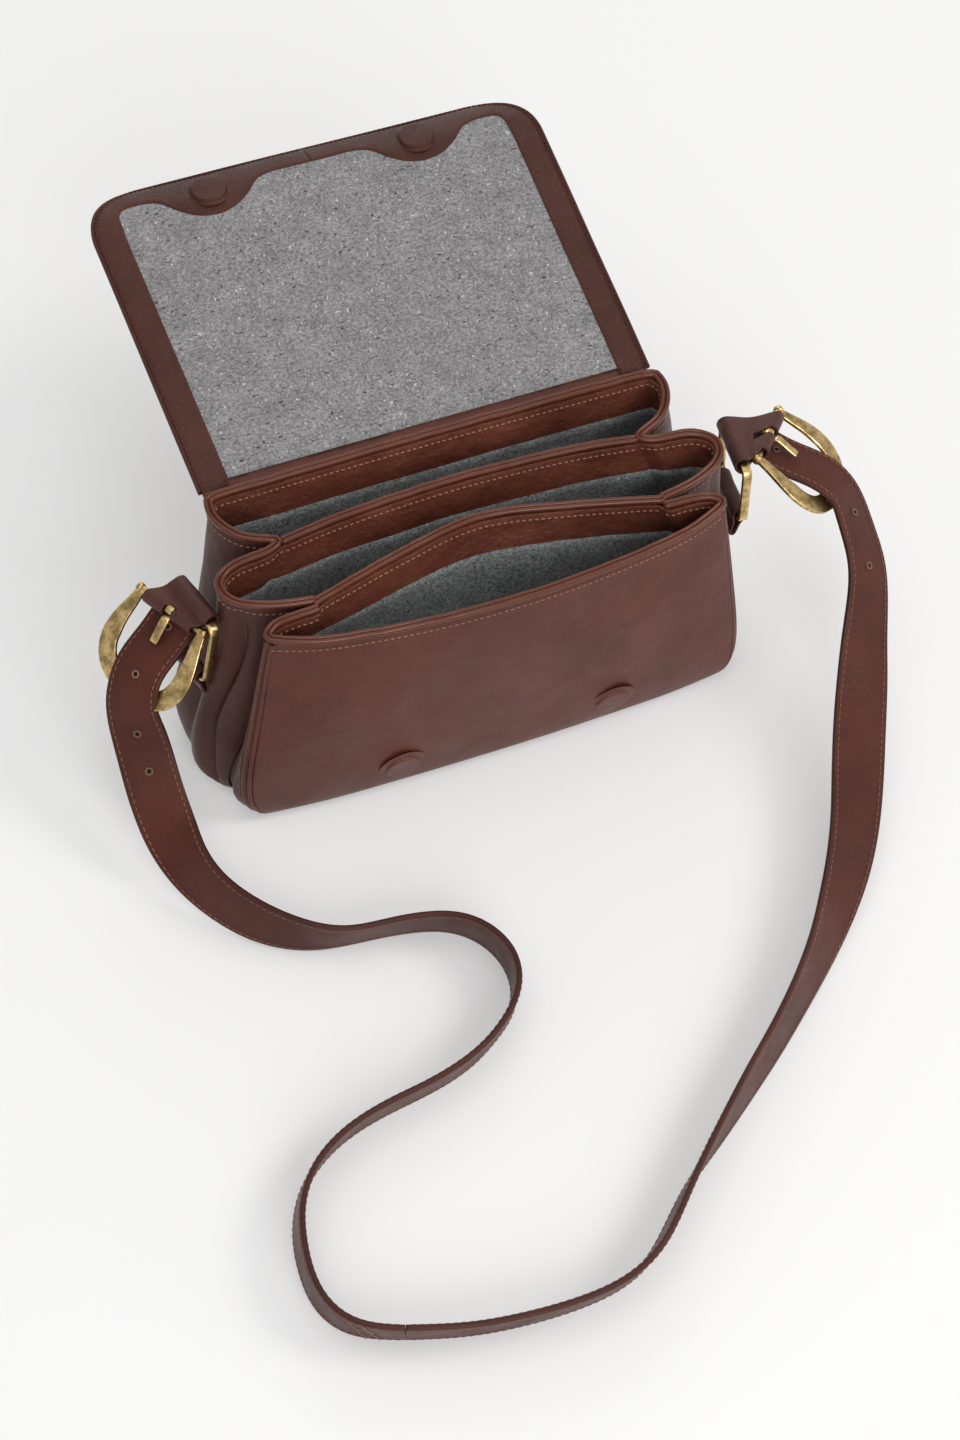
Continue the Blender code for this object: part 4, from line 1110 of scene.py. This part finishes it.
def brass(name, body, path, across, profile, nodes=(), **shape):
    """A swept piece of brass."""
    settle(sweep("brass_" + name, path, across, profile, BRASS, **shape), body, nodes)


def make_ring(name, side):
    """The rectangular brass ring on the bag's side."""
    top = Vector(side["ring"])
    line = Vector(side["ring_line"]).normalized()
    down = Vector(side["ring_foot"])
    centre = top + down / 2
    up = -down.normalized()
    loop = [Vector(p) for p in rounded_box(RING_WIDTH, RING_HEIGHT, RING_CORNER, 8)]
    path = [centre + line * p.x + up * p.y for p in even(loop + [loop[0]], 120)[:-1]]
    flat = line.cross(up)
    brass("ring_" + name, "bag", path, [flat] * len(path), rounded_box(5.4, 2.4, 0.9, 4), ("ring_" + name,),
          closed=True)


def make_buckle(name, side):
    """The horseshoe frame, narrow by its bar and wide at its far end, with its bar and the bar's ears."""
    along, bar, out = frame_axes(side)
    at = Vector(side["bar"])
    half = ((-1.2, -21.7), (8, -23.2), (22, -25.5), (34, -25.0), (43, -19.8), (47.8, -10.5), (49.3, 0))
    line = smooth(half + tuple((x, -y) for x, y in half[-2::-1]), 90)
    path = []
    across = []
    widths = []
    for i, p in enumerate(line):
        way = heading(line, i)
        bow = 1.5 * sin(pi * clamped(p.x / 50))
        path.append(at + along * p.x + bar * p.y + out * bow)
        across.append(along * way.y - bar * way.x)
        widths.append(0.66 + 0.65 * clamped((p.x - 3) / 24))
    body = "buckle_" + name
    brass(body, body, path, across, rounded_box(8.3, 2.3, 0.65, 4), ("buckle_frame_" + name,), widths=widths)
    rod = even([at - bar * BAR_HALF, at + bar * BAR_HALF], 12)
    brass("bar_" + name, body, rod, [along] * 12, circle(2.0, 20))
    for end, sign in (("front", 1), ("back", -1)):
        knob = [at + bar * sign * (EAR_FROM + 3.2 * t / 6) for t in range(7)]
        girth = [0.8, 1.0, 1.06, 1.08, 1.06, 1.0, 0.78]
        brass(f"ear_{end}_{name}", body, knob, [along] * 7, circle(2.75, 24), widths=girth, lifts=girth)


def make_prong(name, side):
    """The flat prong, curled round the bar at its root."""
    along, bar, out = frame_axes(side)
    at = Vector(side["bar"])
    curve = []
    for i in range(17):
        angle = radians(64) + radians(300) * i / 16
        curve.append((PRONG_CURL * cos(angle), PRONG_CURL * sin(angle)))
    curve += [(5.4, 2.3), (8, 2.6), (12, 2.6), (15, 2.5), (17.6, 2.5), (19.4, 2.6)]
    line = even(refine([Vector(p) for p in curve], 4), 90)
    path = [at + along * p.x + out * p.y for p in line]
    widths = [1.0 if p.x < 16 else 1.0 - 0.1 * ((p.x - 16) / 4) ** 2 for p in line]
    brass("prong_" + name, "tongue_" + name, path, [bar] * len(path), rounded_box(5.0, 1.5, 0.6, 3),
          ("prong_" + name,), widths=widths)


def wrapped(name, ends, lines, radii, waist, material, slot_half=0.0):
    """Leather folded round two bars and sewn between them, so that it narrows in the middle.

    slot_half is half the width of the slot at the second bar that lets the prong out."""
    steps = 24
    first_line, second_line = lines
    line = (first_line + second_line).normalized()
    rows = []
    for i in range(steps + 1):
        part = (i / steps - 0.5) * BAND_WIDTH
        a = ends[0] + first_line * part
        b = ends[1] + second_line * part
        way = squared(b - a, line)
        up = line.cross(way)
        row = []
        for centre, radius, turn in ((a, radii[0], 1), (b, radii[1], -1)):
            for k in range(15):
                angle = turn * pi / 2 + pi * k / 14
                row.append(centre + way * radius * cos(angle) + up * radius * sin(angle))
            for k in range(1, 10):
                t = k / 10 if turn > 0 else 1 - k / 10
                thick = radii[0] * (1 - t) + radii[1] * t
                row.append(a.lerp(b, t) - up * turn * thick * (1 - waist * sin(pi * t) ** 1.4))
        even_out = 1 - (abs(part) / (BAND_WIDTH / 2)) ** 6
        heart = a.lerp(b, 0.5)
        rows.append([p + (p - heart).normalized() * 0.35 * wave(p, 0.13, 4.0) * even_out for p in row])
    across = len(rows[0])
    faces = []
    for place, face in enumerate(grid_faces(len(rows), across, around=True)):
        i, j = divmod(place, across)
        if abs((i + 0.5) / steps - 0.5) * BAND_WIDTH >= slot_half or not 22 <= j <= 42:
            faces.append(face)
    obj = build(name, [p for row in rows for p in row], faces, material)
    return thickened(obj, 1.5, 0.5, 55)


for name, side in SIDES.items():
    make_ring(name, side)
    make_buckle(name, side)
    make_prong(name, side)
    top = Vector(side["ring"])
    ring_line = Vector(side["ring_line"]).normalized()
    bar = frame_axes(side)[1]
    tab = wrapped("leather_tab_" + name, (top, Vector(side["bar"])), (ring_line, bar), (5.2, 4.2), 0.55,
                  GUSSET_SKIN, 3.3)
    settle(tab, "tab_" + name, ("strap_tab_" + name,))
    foot = top + Vector(side["ring_foot"])
    tail = foot + Vector(side["loop_tail"])
    loop = wrapped("leather_loop_" + name, (foot, tail), (ring_line, ring_line), (4.0, 1.3), 0.35,
                   GUSSET_SKIN)
    settle(loop, "bag", ("gusset_loop_" + name,))


# Strap ----------------------------------------------------

def strap_course(side, route):
    """The strap's centreline from its buckle, in even steps, and the way of its width at each."""
    along, bar, out = frame_axes(side)
    at = Vector(side["bar"])
    points = [at + along * d + out * h for d, h in THREADING] + [Vector(p) for p, _ in route]
    widths = [bar.copy() for _ in THREADING] + [Vector(w).normalized() for _, w in route]
    fine = refine(points, 12)
    fine_widths = refine(widths, 12)
    line, turns = even(fine, int(lengths(fine)[-1] / STRAP_STEP), (fine_widths,))
    for _ in range(STRAP_EASE):
        for values in (line, turns):
            held = [v.copy() for v in values]
            for i in range(2, len(values) - 2):
                values[i] = held[i] * 0.5 + (held[i - 1] + held[i + 1]) * 0.25
    return line, [t.normalized() for t in turns]


def strap_axes(line, widths, i):
    """The ways along, across and up through the strap at one of its points."""
    way = heading(line, i)
    wide = squared(widths[i], way)
    return way, wide, way.cross(wide)


def make_strap(name, route):
    """One half of the strap, with its stitching and its holes, each a raw-leather rim round a disc of painted
    shadow; returns its line and widths.
    """
    line, widths = strap_course(SIDES[name], route)
    profile = rounded_box(STRAP_WIDTH, STRAP_THICK, STRAP_CORNER, 4)
    profile = [(x, y * (1 + 0.06 * cos(pi * x / 15))) for x, y in profile]
    sides = len(profile)
    obj = sweep("strap_band_" + name, line, widths, profile, STRAP_SKIN)
    obj.data.materials.append(PAINTED_EDGE)
    for poly in obj.data.polygons:
        if len(poly.vertices) == 4:
            off_centre = abs(sum(profile[k % sides][0] for k in poly.vertices) / 4)
            poly.material_index = 1 if off_centre > STRAP_WIDTH / 2 - PAINTED_WIDE else 0
    lines = []
    for face, edge in ((1, 1), (1, -1), (-1, 1), (-1, -1)):
        lines.append([])
        for i, p in enumerate(line):
            way, wide, up = strap_axes(line, widths, i)
            spot = p + wide * edge * (STRAP_WIDTH / 2 - STITCH_INSET)
            lines[-1].append((spot + up * face * (STRAP_THICK / 2 - 0.02), up * face))
    thread = stitches("strap_stitching_" + name, lines, THREAD, 3.9, 2.7, 0.3)
    run = lengths(line)

    def nearest(distance):
        return min(range(len(run)), key=lambda k: abs(run[k] - distance))

    rims = []
    around = tuple(range(24))
    for index, distance in enumerate(HOLES[name]):
        i = nearest(distance)
        way, wide, up = strap_axes(line, widths, i)
        for label, face in (("top", 1), ("under", -1)):
            above = up * face * (STRAP_THICK / 2 + 0.12)
            loop = [line[i] + (way * x + wide * y) * HOLE_RADIUS + above for x, y in circle(1.0, 24)]
            rims.append(sweep(f"strap_hole_{label}_{index}_{name}", loop, [up] * 24, circle(0.55, 8),
                              HOLE_RIM, closed=True))
            # A near-black disc of painted shadow, just above each face, stands in for the hole's opening
            above = up * face * (STRAP_THICK / 2 + 0.18)
            disc = [line[i] + (way * x + wide * y) * (HOLE_RADIUS - 0.15) + above for x, y in circle(1.0, 24)]
            rims.append(build(f"strap_dark_{label}_{index}_{name}", disc, [around[::face]], HOLE_SHADOW))
    for piece in [obj, thread] + rims:
        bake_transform(piece)
    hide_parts("strap_" + name)
    print("strap", name, "length", round(run[-1], 1), "mm")
    return line, widths


line, widths = make_strap("left", LEFT_ROUTE)
make_strap("right", RIGHT_ROUTE)

# Two slanting rows of stitches where the halves meet
seam_lines = []
for shift in (6, 9):
    seam_lines.append([])
    for k in range(9):
        t = k / 8
        i = len(line) - 1 - int(shift + 3 * t)
        way = (line[i] - line[i - 1]).normalized()
        wide = squared(widths[i], way)
        up = way.cross(wide)
        face = 1 if up.y < 0 else -1
        spot = line[i] + wide * 13 * (2 * t - 1) + up * face * (STRAP_THICK / 2 + 0.15)
        seam_lines[-1].append((spot, up * face))
settle(stitches("strap_seam", seam_lines, PALE_THREAD, 2.8, 2.2, 0.34), "bag")


# Base, floor and finish -----------------------------------

runs = (gusset, pouch_side, front, tuple(mirrored(line)[::-1] for line in pouch_side),
        tuple(mirrored(line)[::-1] for line in gusset), tuple(line[::-1] for line in back))
outline = [wall_point(t, f, 1.2) for run in runs for t, f in zip(*run)]
centre = Vector((0, MID_DEPTH, 0))
outline = [p - (p - centre).normalized() * 0.8 for p in outline]
verts = [Vector((p.x, p.y, z)) for z in (0.1, 1.5) for p in outline]
base = build("base_leather", verts, tube_faces(2, len(outline)), SKIN)
base.data.polygons.foreach_set("use_smooth", [False] * len(base.data.polygons))
settle(base, "bag", ("base_panel",))

floor_mesh = bpy.data.meshes.new("floor")
corners = [(FLOOR_REACH * x, FLOOR_REACH * y, 0) for x, y in ((-1, -1), (1, -1), (1, 1), (-1, 1))]
floor_mesh.from_pydata(corners, [], [(0, 1, 2, 3)])
floor = bpy.data.objects.new("floor", floor_mesh)
floor.location.z = FLOOR_LEVEL
bpy.context.scene.collection.objects.link(floor)
paper, tree, shader = blank("pale_floor")
fill(tree, shader, {"Base Color": (0.54, 0.54, 0.54, 1.0), "Emission Color": (1.0, 1.0, 1.0, 1.0),
                    "Emission Strength": 0.29, "Roughness": 0.85})
floor_mesh.materials.append(paper)
